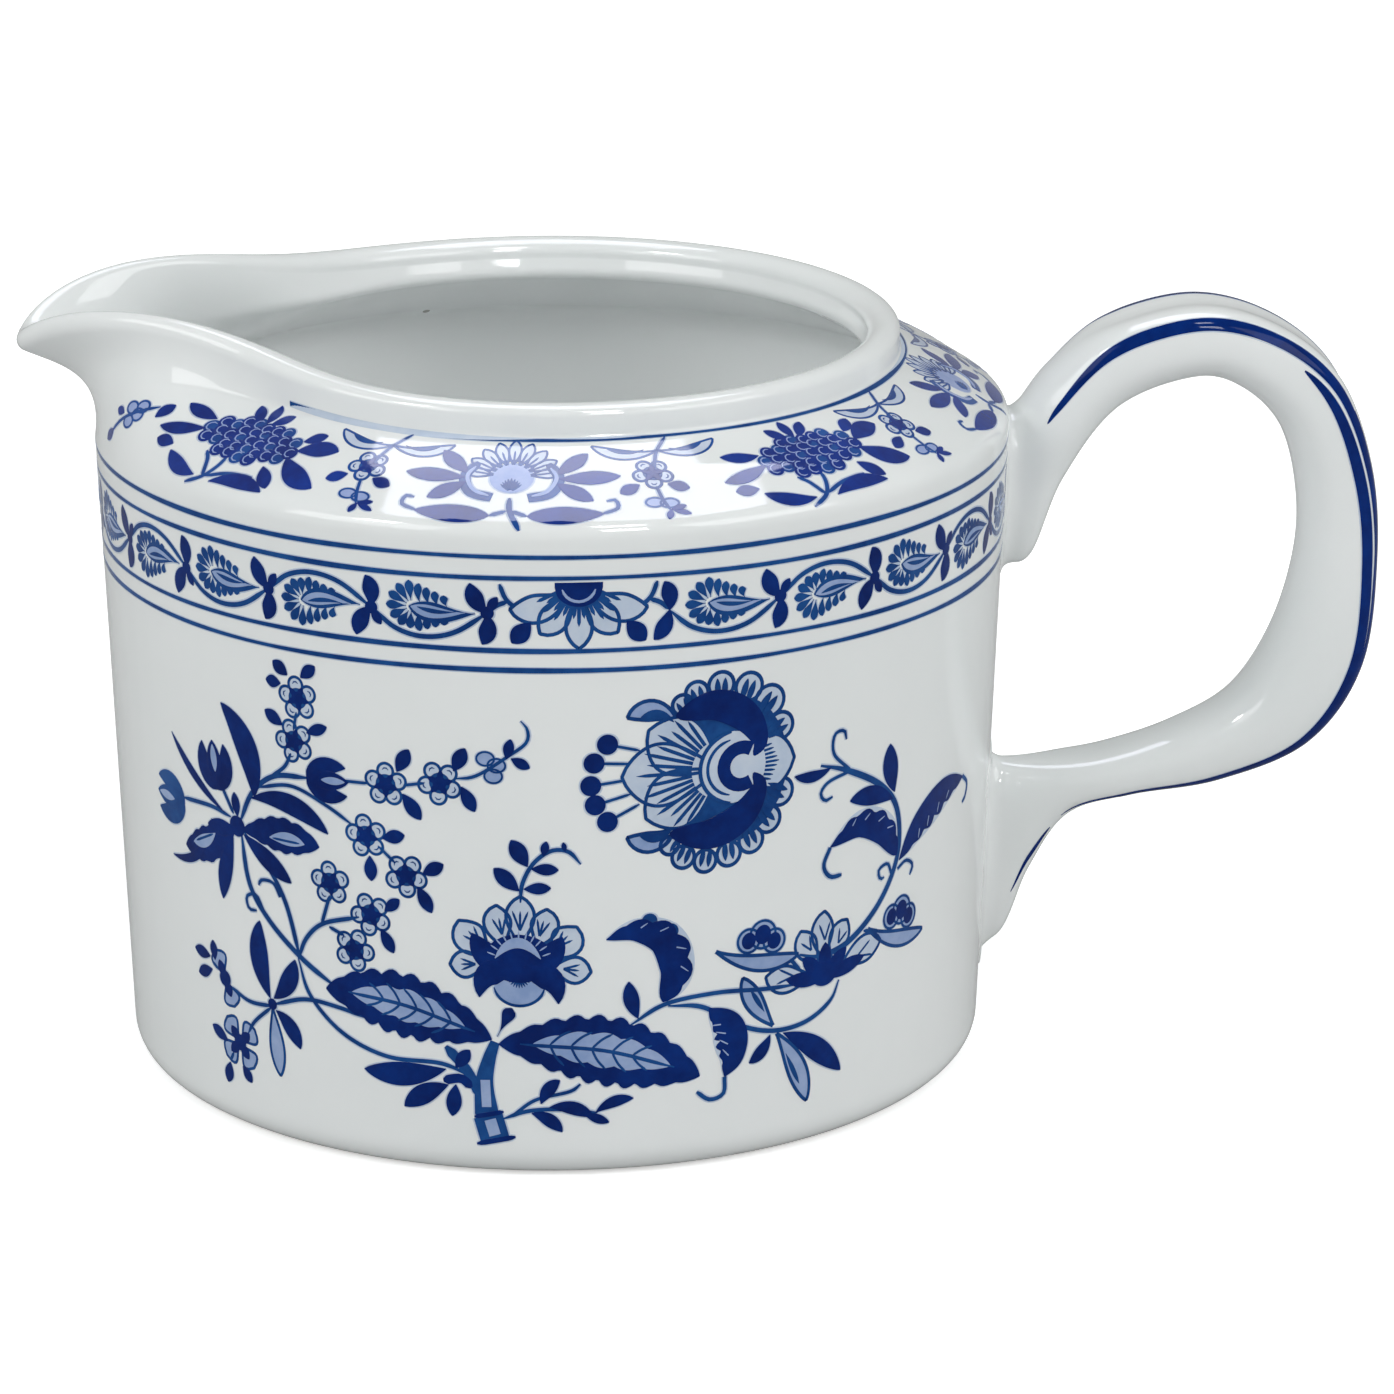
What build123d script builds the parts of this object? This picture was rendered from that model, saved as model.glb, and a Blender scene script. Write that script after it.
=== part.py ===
"""Porcelain cream jug: a cast vessel with a pouring spout, and an ear-shaped handle stuck on with slip.

Frame: millimetres, +Z up. The origin is the centre of the foot ring's resting face.
The spout points along -X, the handle along +X, and the decorated front faces -Y.
"""

from build123d import *
from math import atan2, cos, exp, radians, sin
import os

# ---- driving dimensions -------------------------------------------------------------------
BODY_RADIUS = 42.0          # outside of the wall, just below the shoulder
WALL_HEIGHT = 60.0          # top of the wall, where the shoulder starts
NECK_HEIGHT = 66.7          # where the shoulder meets the upright rim
RIM_HEIGHT = 69.6           # top of the rim away from the spout
SPOUT_REACH = 48.9          # from the axis to the tip of the spout
WALL_THICKNESS = 2.9
FLOOR_THICKNESS = 3.2
FOOT_RECESS = 2.0           # depth of the hollow inside the foot ring

# ---- sizes that follow from them ------------------------------------------------------------
WALL_TAPER = 0.04                                    # radius gained for each unit of height
FOOT_RADIUS = BODY_RADIUS - WALL_TAPER * WALL_HEIGHT
FOOT_ROUNDING = 1.2
FOOT_RING_WIDTH = 4.6
NECK_RADIUS = 0.76 * BODY_RADIUS
CORNER_RADIUS = BODY_RADIUS - 0.5                    # where the rounded edge runs into the slope
CORNER_HEIGHT = WALL_HEIGHT + 1.0
SHOULDER_CROWN = 0.8                                 # how far the slope bulges past a straight cone
SHOULDER_HEIGHTS = (60.0, 60.4, 60.7, 61.0, 61.7, 62.6, 63.8, 65.2, 66.7)
RIM_HEIGHTS = (66.7, 67.4, 68.2, 69.0, 69.8, 71.0, 72.2)
LIP_RISE = 3.6                                       # extra height of the lip beside the spout
LIP_RISE_ANGLE = 15.0                                # degrees from the spout's axis to that high place
FLARE_POWER = 1.8                                    # how late the wall's top leans out under the spout
SPOUT_SPREAD = 18.3                                  # degrees, half-width of the spout's plan bulge
SPOUT_BLEND = (18.0, 48.0)                           # degrees, over which spout turns into shoulder
LIP_TOP = RIM_HEIGHT + LIP_RISE
OPEN_HEIGHT = LIP_TOP + 4.0                          # cutters and lofts run past the lip to here
FLOOR_HEIGHT = FOOT_RECESS + FLOOR_THICKNESS         # top of the floor inside
FLOOR_CORNER = 5.0                                   # rounding between floor and wall inside
SLOPE_DROP = 0.9                                     # how far the inside of the slope sits below the outside
SLOPE_EXTRA = 0.6                                    # extra thickness under the slope
STEEPEST_SLANT = 1.35                                # limit on how much a slanting wall is thickened in plan
INNER_TOP = WALL_HEIGHT - 1.0
INNER_NECK = NECK_HEIGHT - SLOPE_DROP

# ---- colour films -----------------------------------------------------------------------------
FILM_GAP = 0.05             # keeps each film clear of the glaze below it
FILM_THICKNESS = 0.10
SHOULDER_GAP = 0.16         # measured sideways; less than half of it square to the slope
LINE_WIDTH = 0.45
UPPER_LINES = (58.6, 56.7)
LOWER_LINES = (50.0, 48.2)
SCROLL_MARGIN = 0.6         # bare strip between the scroll and the rings beside it
STROKE_RADIUS = 0.5         # of the brush strokes on the handle
STROKE_INSET = 0.22         # how far down from the outer edge they run, as a share of the thickness
STROKE_SPREAD = 0.46        # how far out from the middle, as a share of the width
HANDLE_CLEARANCE = 7.5      # half-width, left clear around the handle's roots

# ---- slip joints ----------------------------------------------------------------------------------
SLIP_THICKNESS = 0.4
SLIP_GAP = 0.02             # keeps the joint clear of the wall's own surface


def smooth_step(value, start, end):
    """0 before start, 1 after end, and an even S-curve between."""
    share = min(max((value - start) / (end - start), 0.0), 1.0)
    return share * share * (3.0 - 2.0 * share)


def wall_radius(height):
    """Outside radius of the tapered wall."""
    return FOOT_RADIUS + WALL_TAPER * height


# ---- vessel ----------------------------------------------------------------------------------
def spout_bulge(azimuth):
    """Share of the spout's reach that the lip has at an angle from the spout's axis."""
    return exp(-((abs(azimuth) / SPOUT_SPREAD) ** 1.6))


def lip_radius(azimuth):
    """Outside radius of the lip in plan."""
    return NECK_RADIUS + (SPOUT_REACH - NECK_RADIUS) * spout_bulge(azimuth)


def lip_height(azimuth):
    """The lip rises on both sides of the spout and dips again at its tip."""
    share = abs(azimuth) / LIP_RISE_ANGLE
    return RIM_HEIGHT + LIP_RISE * (share * exp(1.0 - share)) ** 1.5


def shoulder_radius(height):
    """Outside radius away from the spout: rounded edge, slope up to the neck, then the upright rim."""
    if height >= NECK_HEIGHT:
        return NECK_RADIUS
    if height <= CORNER_HEIGHT:
        edge_share = (height - WALL_HEIGHT) / (CORNER_HEIGHT - WALL_HEIGHT)
        return BODY_RADIUS - (BODY_RADIUS - CORNER_RADIUS) * edge_share ** 2
    share = (height - CORNER_HEIGHT) / (NECK_HEIGHT - CORNER_HEIGHT)
    crown = SHOULDER_CROWN * 4.0 * share * (1.0 - share)
    return CORNER_RADIUS + (NECK_RADIUS - CORNER_RADIUS) * share + crown


def upper_radius(azimuth, height):
    """Outside radius above the wall, at an angle from the spout's axis."""
    share = min((height - WALL_HEIGHT) / (lip_height(azimuth) - WALL_HEIGHT), 1.0)
    flare = BODY_RADIUS + (lip_radius(azimuth) - BODY_RADIUS) * share ** FLARE_POWER
    blend = smooth_step(abs(azimuth), *SPOUT_BLEND)
    return flare + (shoulder_radius(height) - flare) * blend


def outline(radius_at, height):
    """Closed horizontal outline from a radius that depends on the angle from the spout's axis."""
    azimuths = [3.0 * step for step in range(-18, 19)] + [60.0 + 12.0 * step for step in range(21)]
    points = []
    for azimuth in azimuths:
        angle = radians(180.0 + azimuth)
        radius = radius_at(azimuth)
        points.append((radius * cos(angle), radius * sin(angle), height))
    return make_face(Spline(*points, periodic=True))


def stacked_loft(heights, radius_at):
    """Solid with straight bands between horizontal outlines at the given heights."""
    outlines = [outline(lambda azimuth: radius_at(azimuth, height), height) for height in heights]
    return loft(outlines, ruled=True)


def outside_radius(azimuth, height):
    """Outside radius of the whole vessel."""
    if height <= 0.0:
        return FOOT_RADIUS - FOOT_ROUNDING
    if height <= WALL_HEIGHT:
        return wall_radius(height)
    return upper_radius(azimuth, height)


def vessel_outside():
    """Solid out to the jug's outside surface, as if it had no hollow."""
    foot = stacked_loft([0.0, FOOT_ROUNDING], outside_radius)
    wall = stacked_loft([FOOT_ROUNDING, WALL_HEIGHT], outside_radius)
    shoulder = stacked_loft(SHOULDER_HEIGHTS, outside_radius)
    return foot + wall + shoulder + stacked_loft([*RIM_HEIGHTS, OPEN_HEIGHT], outside_radius)


def wall_cone(grow):
    """Solid cone just outside the tapered wall, on which the handle's roots sit."""
    top = NECK_HEIGHT
    section = Polyline(
        (0, 0),
        (wall_radius(0.0) + grow, 0),
        (wall_radius(top) + grow, top),
        (0, top),
        close=True,
    )
    return revolve(Plane.XZ * make_face(section), Axis.Z)


def lip_profile():
    """Region above the lip, seen from the front, for cutting the lip's rise and dip."""
    azimuths = [5.0, 10.0, 15.0, 20.0, 27.0, 34.0, 42.0, 52.0, 66.0, 80.0]
    before_tip = (-SPOUT_REACH - 1.0, RIM_HEIGHT - 0.3)
    lip_points = [(-lip_radius(a) * cos(radians(a)), lip_height(a)) for a in azimuths]
    beyond = 20.0
    lip_line = Spline(before_tip, *lip_points)
    frame_line = Polyline(
        lip_points[-1],
        (BODY_RADIUS + beyond, RIM_HEIGHT),
        (BODY_RADIUS + beyond, OPEN_HEIGHT + beyond),
        (before_tip[0], OPEN_HEIGHT + beyond),
        before_tip,
    )
    return make_face([*lip_line.edges(), *frame_line.edges()])


def inside_radius(azimuth, height):
    """Inside radius of the hollow, from the rounded floor edge up past the lip."""
    if height <= INNER_TOP:
        above_floor = min(height - FLOOR_HEIGHT, FLOOR_CORNER)
        inset = FLOOR_CORNER - (FLOOR_CORNER ** 2 - (FLOOR_CORNER - above_floor) ** 2) ** 0.5
        return wall_radius(height) - WALL_THICKNESS - inset
    outside = upper_radius(azimuth, min(height + SLOPE_DROP, OPEN_HEIGHT))
    slope_share = smooth_step(abs(azimuth), *SPOUT_BLEND) * (height < INNER_NECK)
    slant = 1.0 / cos(atan2(spout_slope(azimuth), lip_radius(azimuth)))
    return outside - WALL_THICKNESS * min(slant, STEEPEST_SLANT) - SLOPE_EXTRA * slope_share


def hollow():
    """Inside of the jug, open past the lip."""
    corner_heights = [FLOOR_HEIGHT + FLOOR_CORNER * share for share in (0.0, 0.04, 0.15, 0.33, 0.6, 1.0)]
    under_step = (INNER_NECK - INNER_TOP) / 6.0
    under_heights = [INNER_TOP + under_step * step for step in range(7)]
    mouth_heights = [INNER_NECK, *RIM_HEIGHTS[1:], OPEN_HEIGHT + 1.0]
    belly = stacked_loft([*corner_heights, INNER_TOP], inside_radius)
    return belly + stacked_loft(under_heights, inside_radius) + stacked_loft(mouth_heights, inside_radius)


def spout_slope(azimuth):
    """How fast the lip's radius changes with the angle, per radian."""
    step = 0.5
    return (lip_radius(azimuth - step) - lip_radius(azimuth + step)) / radians(2.0 * step)


def jug_body():
    """The one-piece casting: wall, base, foot ring, shoulder, rim and spout."""
    recess = Cylinder(FOOT_RADIUS - FOOT_RING_WIDTH, 2.0 * FOOT_RECESS)
    above_lip = extrude(Plane.XZ * lip_profile(), amount=2.0 * BODY_RADIUS, both=True)
    return vessel_outside() - hollow() - recess - above_lip


# ---- handle ---------------------------------------------------------------------------------
# Stations along the loop: (x, z) of the outer edge, (x, z) of the inner edge, and the width across.
HANDLE_STATIONS = (
    ((38.0, 57.5), (38.0, 44.0), 9.0),
    ((42.4, 59.6), (44.2, 46.5), 9.0),
    ((46.4, 63.0), (47.6, 53.8), 9.4),
    ((51.4, 67.3), (52.2, 60.6), 10.0),
    ((59.4, 69.9), (59.6, 63.4), 10.5),
    ((67.0, 67.9), (64.2, 62.0), 10.5),
    ((73.0, 62.8), (67.6, 57.6), 10.3),
    ((76.2, 54.4), (69.3, 51.8), 10.0),
    ((77.0, 45.0), (69.4, 45.4), 10.0),
    ((75.9, 34.6), (67.4, 38.0), 10.0),
    ((71.0, 27.3), (63.6, 31.9), 9.8),
    ((62.5, 23.7), (58.0, 28.6), 9.2),
    ((54.0, 22.4), (52.4, 27.0), 8.6),
    ((48.0, 20.0), (46.8, 26.6), 8.2),
    ((44.4, 14.6), (43.4, 27.0), 7.8),
    ((42.2, 7.6), (41.4, 27.6), 7.4),
    ((38.0, 5.4), (38.0, 28.0), 7.2),
)
STROKE_STATIONS = slice(3, 12)          # the stations that the brush strokes run past


def handle_section(outer, inner, width):
    """Oval section across the loop, between its outer and inner edges."""
    middle = ((outer[0] + inner[0]) / 2.0, 0.0, (outer[1] + inner[1]) / 2.0)
    across = (outer[0] - inner[0], 0.0, outer[1] - inner[1])
    thickness = (across[0] ** 2 + across[2] ** 2) ** 0.5
    along = (-across[2], 0.0, across[0])
    plane = Plane(origin=middle, x_dir=across, z_dir=along)
    return plane * Ellipse(thickness / 2.0, width / 2.0)


def handle_loop():
    """The whole loop, with both roots running into the wall."""
    return loft([handle_section(*station) for station in HANDLE_STATIONS])


# ---- colour films ---------------------------------------------------------------------------------
def ring_film(height):
    """One painted ring around the wall, open where the handle's root covers it."""
    inner = FILM_GAP
    outer = FILM_GAP + FILM_THICKNESS
    low = height - LINE_WIDTH / 2.0
    high = height + LINE_WIDTH / 2.0
    return conical_shell(low, high, inner, outer)


def conical_shell(low, high, inner, outer):
    """Thin sleeve around the tapered wall."""
    section = Polyline(
        (wall_radius(low) + inner, low),
        (wall_radius(low) + outer, low),
        (wall_radius(high) + outer, high),
        (wall_radius(high) + inner, high),
        close=True,
    )
    return revolve(Plane.XZ * make_face(section), Axis.Z)


def band_scroll():
    """Printed strip between the two pairs of rings."""
    low = LOWER_LINES[0] + SCROLL_MARGIN
    high = UPPER_LINES[1] - SCROLL_MARGIN
    return conical_shell(low, high, FILM_GAP, FILM_GAP + FILM_THICKNESS) - handle_gap()


def handle_gap():
    """Block around the handle's roots, where no film is printed."""
    return Pos(BODY_RADIUS, 0, WALL_HEIGHT / 2.0) * Box(BODY_RADIUS, 2.0 * HANDLE_CLEARANCE, WALL_HEIGHT * 1.5)


def rings(heights):
    """Painted rings at the given heights."""
    return Compound([ring_film(height) - handle_gap() for height in heights])


def neck_line():
    """Painted line where the shoulder meets the rim, from one side of the spout round to the other."""
    height = NECK_HEIGHT + 0.5
    inner = NECK_RADIUS + FILM_GAP
    ring = Cylinder(inner + FILM_THICKNESS, LINE_WIDTH) - Cylinder(inner, LINE_WIDTH)
    reach = 2.0 * BODY_RADIUS
    clear = radians(SPOUT_BLEND[1] + 6.0)
    wedge = make_face(Polyline((0, 0), (-reach * cos(clear), -reach * sin(clear)), (-2 * reach, 0),
                               (-reach * cos(clear), reach * sin(clear)), close=True))
    return Pos(0, 0, height) * (ring - extrude(wedge, amount=LINE_WIDTH, both=True))


def leaf(length, width):
    """Pointed leaf that starts at the origin and points up."""
    left = ThreePointArc((0, 0), (-width / 2.0, 0.45 * length), (0, length))
    right = ThreePointArc((0, length), (width / 2.0, 0.45 * length), (0, 0))
    return make_face([left, right])


def blossom(radius, petals=5):
    """Flower head: a round centre with round petals."""
    shape = Circle(0.55 * radius)
    for step in range(petals):
        shape += Rot(0, 0, 360.0 * step / petals) * Pos(0, 0.6 * radius) * Circle(0.4 * radius)
    return shape


def stem(points, width=0.7):
    """Curved stem of even width through the given points."""
    path = Spline(*points)
    return trace(path, line_width=width)


def on_wall(drawing):
    """The drawing as a thin film on the front of the wall."""
    shell = conical_shell(FOOT_ROUNDING, LOWER_LINES[1], FILM_GAP, FILM_GAP + FILM_THICKNESS)
    return shell & extrude(Plane.XZ * drawing, amount=2.0 * BODY_RADIUS)


def spray_drawing():
    """The big spray, drawn flat: across, and up from the foot."""
    drawing = stem([(-6.5, 4.0), (-7.5, 12.5), (-4.5, 22.0), (1.0, 31.0)], 1.2)
    drawing += stem([(-7.5, 12.5), (-16.0, 20.0), (-27.0, 33.0)])
    drawing += stem([(-5.0, 16.0), (8.0, 14.0), (20.0, 18.0), (30.0, 28.0), (34.0, 36.0)])
    drawing += stem([(-4.5, 22.0), (4.0, 29.0), (12.5, 37.0)])
    leaves = (
        (-7.5, 12.5, 13.0, 5.0, 75.0),
        (-5.0, 11.5, 15.0, 5.5, -75.0),
        (-26.0, 28.0, 8.0, 3.5, 60.0),
        (8.0, 14.0, 6.0, 3.5, -150.0),
        (30.0, 28.0, 7.0, 3.0, -45.0),
        (20.0, 18.0, 8.0, 3.0, -95.0),
    )
    for across, up, length, width, turn in leaves:
        drawing += Pos(across, up) * Rot(0, 0, turn) * leaf(length, width)
    blossoms = ((-3.8, 19.5, 5.0), (12.4, 38.5, 8.5), (25.5, 20.0, 4.5), (-17.5, 32.0, 4.0), (-10.0, 27.0, 3.5))
    for across, up, radius in blossoms:
        drawing += Pos(across, up) * blossom(radius)
    return drawing


def shoulder_drawing():
    """Motifs of one side of the shoulder in plan, from the spout round to the handle."""
    drawing = Sketch()
    middle = 36.5
    for turn, petals, radius in ((-28.0, 5, 2.6), (2.0, 7, 3.4), (30.0, 5, 2.6), (58.0, 6, 3.0)):
        place = Rot(0, 0, turn) * Pos(0, -middle)
        drawing += place * blossom(radius, petals)
        drawing += place * Rot(0, 0, 90) * leaf(5.5, 1.8)
        drawing += place * Rot(0, 0, -90) * leaf(5.5, 1.8)
    return drawing


def shoulder_shell():
    """Thin film that follows the sloping shoulder, away from the spout."""
    heights = SHOULDER_HEIGHTS[4:-1]
    inner = [(shoulder_radius(height) + SHOULDER_GAP, height) for height in heights]
    outer = [(radius + FILM_THICKNESS, height) for radius, height in reversed(inner)]
    return revolve(Plane.XZ * make_face(Polyline(*inner, *outer, close=True)), Axis.Z)


def shoulder_sprays():
    """Front and back motifs on the sloping shoulder."""
    prism = extrude(shoulder_drawing(), amount=NECK_HEIGHT)
    front = shoulder_shell() & prism
    return front + mirror(front, about=Plane.XZ)


def handle_stroke(side, loop):
    """Brush stroke along one ridge of the handle's outer face."""
    ridge = []
    for outer, inner, width in HANDLE_STATIONS[STROKE_STATIONS]:
        x = outer[0] + (inner[0] - outer[0]) * STROKE_INSET
        z = outer[1] + (inner[1] - outer[1]) * STROKE_INSET
        ridge.append((x, side * STROKE_SPREAD * width, z))
    path = Spline(*ridge)
    start = Plane(origin=path @ 0, z_dir=path % 0)
    return sweep(start * Circle(STROKE_RADIUS), path=path) - loop


def write(name, shape):
    """One STEP file for one node."""
    export_step(shape, os.path.join("parts", name + ".step"))


def main():
    """Build every piece and write it."""
    os.makedirs("parts", exist_ok=True)
    loop = handle_loop()
    joints = (loop & wall_cone(SLIP_THICKNESS)) - wall_cone(SLIP_GAP)
    lower_joint, upper_joint = sorted(joints.solids(), key=lambda solid: solid.center().Z)
    front = on_wall(spray_drawing())
    write("jug_body", jug_body())
    write("handle", loop - wall_cone(SLIP_THICKNESS))
    write("lower_slip_joint", lower_joint)
    write("upper_slip_joint", upper_joint)
    write("neck_line", neck_line())
    write("upper_band_lines", rings(UPPER_LINES))
    write("lower_band_lines", rings(LOWER_LINES))
    write("band_scroll", band_scroll())
    write("shoulder_sprays", shoulder_sprays())
    write("front_spray", front)
    write("back_spray", Rot(0, 0, 180) * front)
    write("handle_strokes", Compound([handle_stroke(-1, loop), handle_stroke(1, loop)]))


main()
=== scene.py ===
from math import atan2, cos, degrees, exp, pi, radians, sin

import bpy
import numpy as np
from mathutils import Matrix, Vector


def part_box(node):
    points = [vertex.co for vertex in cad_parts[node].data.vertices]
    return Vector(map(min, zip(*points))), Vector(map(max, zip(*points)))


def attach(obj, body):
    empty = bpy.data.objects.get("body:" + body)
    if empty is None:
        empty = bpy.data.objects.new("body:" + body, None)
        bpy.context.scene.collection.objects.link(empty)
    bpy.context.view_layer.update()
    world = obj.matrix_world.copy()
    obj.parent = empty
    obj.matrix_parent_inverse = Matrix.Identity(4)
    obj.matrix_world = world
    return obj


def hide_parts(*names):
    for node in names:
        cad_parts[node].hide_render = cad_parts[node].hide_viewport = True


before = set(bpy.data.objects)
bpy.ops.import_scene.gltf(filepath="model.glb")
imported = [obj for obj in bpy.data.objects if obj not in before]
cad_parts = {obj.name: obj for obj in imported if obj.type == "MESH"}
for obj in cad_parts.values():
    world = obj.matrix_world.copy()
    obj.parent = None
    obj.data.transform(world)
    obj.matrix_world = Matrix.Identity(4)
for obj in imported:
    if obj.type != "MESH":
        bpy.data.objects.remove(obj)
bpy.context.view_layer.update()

# ---- sizes, in millimetres, worked out from the frame ----
MM = 0.001
body_low, body_high = [np.array(corner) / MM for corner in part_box("jug_body")]
BODY_RADIUS = body_high[1]
SPOUT_REACH = -body_low[0]
LIP_RISE = 3.6
RIM_TOP = body_high[2] - LIP_RISE
COLLAR_TOP = RIM_TOP - 1.6                  # middle of the rim's rounding
WALL_TAPER = 0.04
WALL_TOP = BODY_RADIUS * 1.405
FOOT_RADIUS = BODY_RADIUS - WALL_TAPER * BODY_RADIUS * 60.0 / 42.0      # widest 60 up for 42 of radius
LINE_WIDTH = 0.42
ring_low, ring_high = [np.array(corner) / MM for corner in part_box("upper_band_lines")]
UPPER_RINGS = (ring_high[2] - LINE_WIDTH / 2, ring_low[2] + LINE_WIDTH / 2)
ring_low, ring_high = [np.array(corner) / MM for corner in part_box("lower_band_lines")]
LOWER_RINGS = (ring_high[2] - LINE_WIDTH / 2, ring_low[2] + LINE_WIDTH / 2)
BAND_MIDDLE = (UPPER_RINGS[1] + LOWER_RINGS[0]) / 2
HALF_GIRTH = pi * BODY_RADIUS
COLLAR_RADIUS = 31.95
COLLAR_INNER = 28.9
SLOPE_BOW = (37.3, 64.15, 14.0)             # middle of the slope, and the radius of its bow
SLOPE_TOP = 66.55                           # where the collar rises from the slope
SLOPE_TOP_INSIDE = 65.9
TIP_THICKNESS = 2.3                         # of the sheet at the spout's tip
WALL_THICKNESS = 2.95
FLOOR_TOP = 5.2
UNDERSIDE = 2.0                             # height of the floor's underside, inside the foot ring
FOOT_RING_INNER = 33.9
SLOPE_START = 1.6                           # along the outline, from the wall's top to the slope
SLOPE_RADIUS = 37.0                         # radius at which widths on the slope are true


def smooth_step(value, start, end):
    """0 before start, 1 after end, and an even S-curve between."""
    share = np.clip((value - start) / (end - start), 0.0, 1.0)
    return share * share * (3.0 - 2.0 * share)


def wall_radius(height):
    """Outside radius of the tapered wall."""
    return FOOT_RADIUS + WALL_TAPER * height


# ---- paths ----
def resample(points, count):
    """The same path with evenly spaced points."""
    points = np.asarray(points, float)
    steps = np.hypot(*np.diff(points, axis=0).T)
    along = np.concatenate([[0.0], np.cumsum(steps)])
    wanted = np.linspace(0.0, along[-1], count)
    return np.stack([np.interp(wanted, along, column) for column in points.T], axis=1)


def rounded_path(corners, count):
    """Evenly spaced points along straight runs whose corners, (x, y, radius), are rounded by arcs."""
    path = [corners[0][:2]]
    for before, corner, after in zip(corners, corners[1:], corners[2:]):
        here = np.array(corner[:2])
        back = np.array(before[:2]) - here
        ahead = np.array(after[:2]) - here
        back /= np.linalg.norm(back)
        ahead /= np.linalg.norm(ahead)
        half = np.arccos(np.clip(back @ ahead, -1.0, 1.0)) / 2
        reach = corner[2] / np.tan(half)
        middle = here + (back + ahead) / np.linalg.norm(back + ahead) * corner[2] / np.sin(half)
        first, last = here + back * reach - middle, here + ahead * reach - middle
        for share in np.linspace(0.0, 1.0, 9):
            spoke = first * (1 - share) + last * share
            path.append(middle + spoke / np.linalg.norm(spoke) * corner[2])
    path.append(corners[-1][:2])
    return resample(path, count)


def bezier(start, pull_out, pull_in, end, count):
    """Evenly spaced points of one cubic curve."""
    share = np.linspace(0.0, 1.0, 60)[:, None]
    rest = 1.0 - share
    points = rest ** 3 * np.array(start) + 3 * rest ** 2 * share * np.array(pull_out)
    points = points + 3 * rest * share ** 2 * np.array(pull_in) + share ** 3 * np.array(end)
    return resample(points, count)


def curve(points, step=0.4):
    """Smooth curve through the given flat points."""
    points = [np.array(point, float) for point in points]
    if len(points) == 2:
        count = max(3, int(np.linalg.norm(points[1] - points[0]) / step) + 2)
        return resample(points, count)
    ends = [2 * points[0] - points[1], *points, 2 * points[-1] - points[-2]]
    path = []
    for before, first, second, after in zip(ends, ends[1:], ends[2:], ends[3:]):
        for share in np.linspace(0.0, 1.0, 9)[:-1]:
            path.append(0.5 * (2 * first + (second - before) * share
                               + (2 * before - 5 * first + 4 * second - after) * share ** 2
                               + (3 * first - before - 3 * second + after) * share ** 3))
    path.append(points[-1])
    length = np.hypot(*np.diff(np.array(path), axis=0).T).sum()
    return resample(path, max(4, int(length / step) + 2))


def path_normals(path):
    """Unit normals, to the left of a flat path."""
    along = np.gradient(path, axis=0)
    along /= np.maximum(np.linalg.norm(along, axis=1), 1e-9)[:, None]
    return np.stack([-along[:, 1], along[:, 0]], axis=1)


# ---- the vessel's skin ----
UPPER_COUNT, FOOT_COUNT, WALL_COUNT, FLOOR_COUNT = 84, 90, 50, 70      # points along each run of the outline


def spout_share(azimuth):
    """Share of the spout's reach that the lip has at an angle from the spout's axis."""
    return exp(-((azimuth / 18.3) ** 1.6))


def lip_rise(azimuth):
    """Extra height of the lip on both sides of the spout."""
    share = azimuth / 15.0
    return LIP_RISE * (share * exp(1.0 - share)) ** 1.5


def lip_frame(azimuth):
    """Centre of the lip's rounding, the way the lip points, and the sheet's thickness there."""
    collar_centre = (COLLAR_RADIUS + COLLAR_INNER) / 2
    reach = SPOUT_REACH - TIP_THICKNESS / 2
    centre = np.array([collar_centre + (reach - collar_centre) * spout_share(azimuth),
                       COLLAR_TOP + lip_rise(azimuth)])
    lean = radians(24.0 + 66.0 * smooth_step(azimuth, 0.0, 24.0) + 15.0 * smooth_step(azimuth, 20.0, 60.0))
    growth = COLLAR_RADIUS - COLLAR_INNER - TIP_THICKNESS
    thickness = TIP_THICKNESS + growth * smooth_step(azimuth, 5.0, 45.0)
    return centre, np.array([cos(lean), sin(lean)]), thickness


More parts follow.
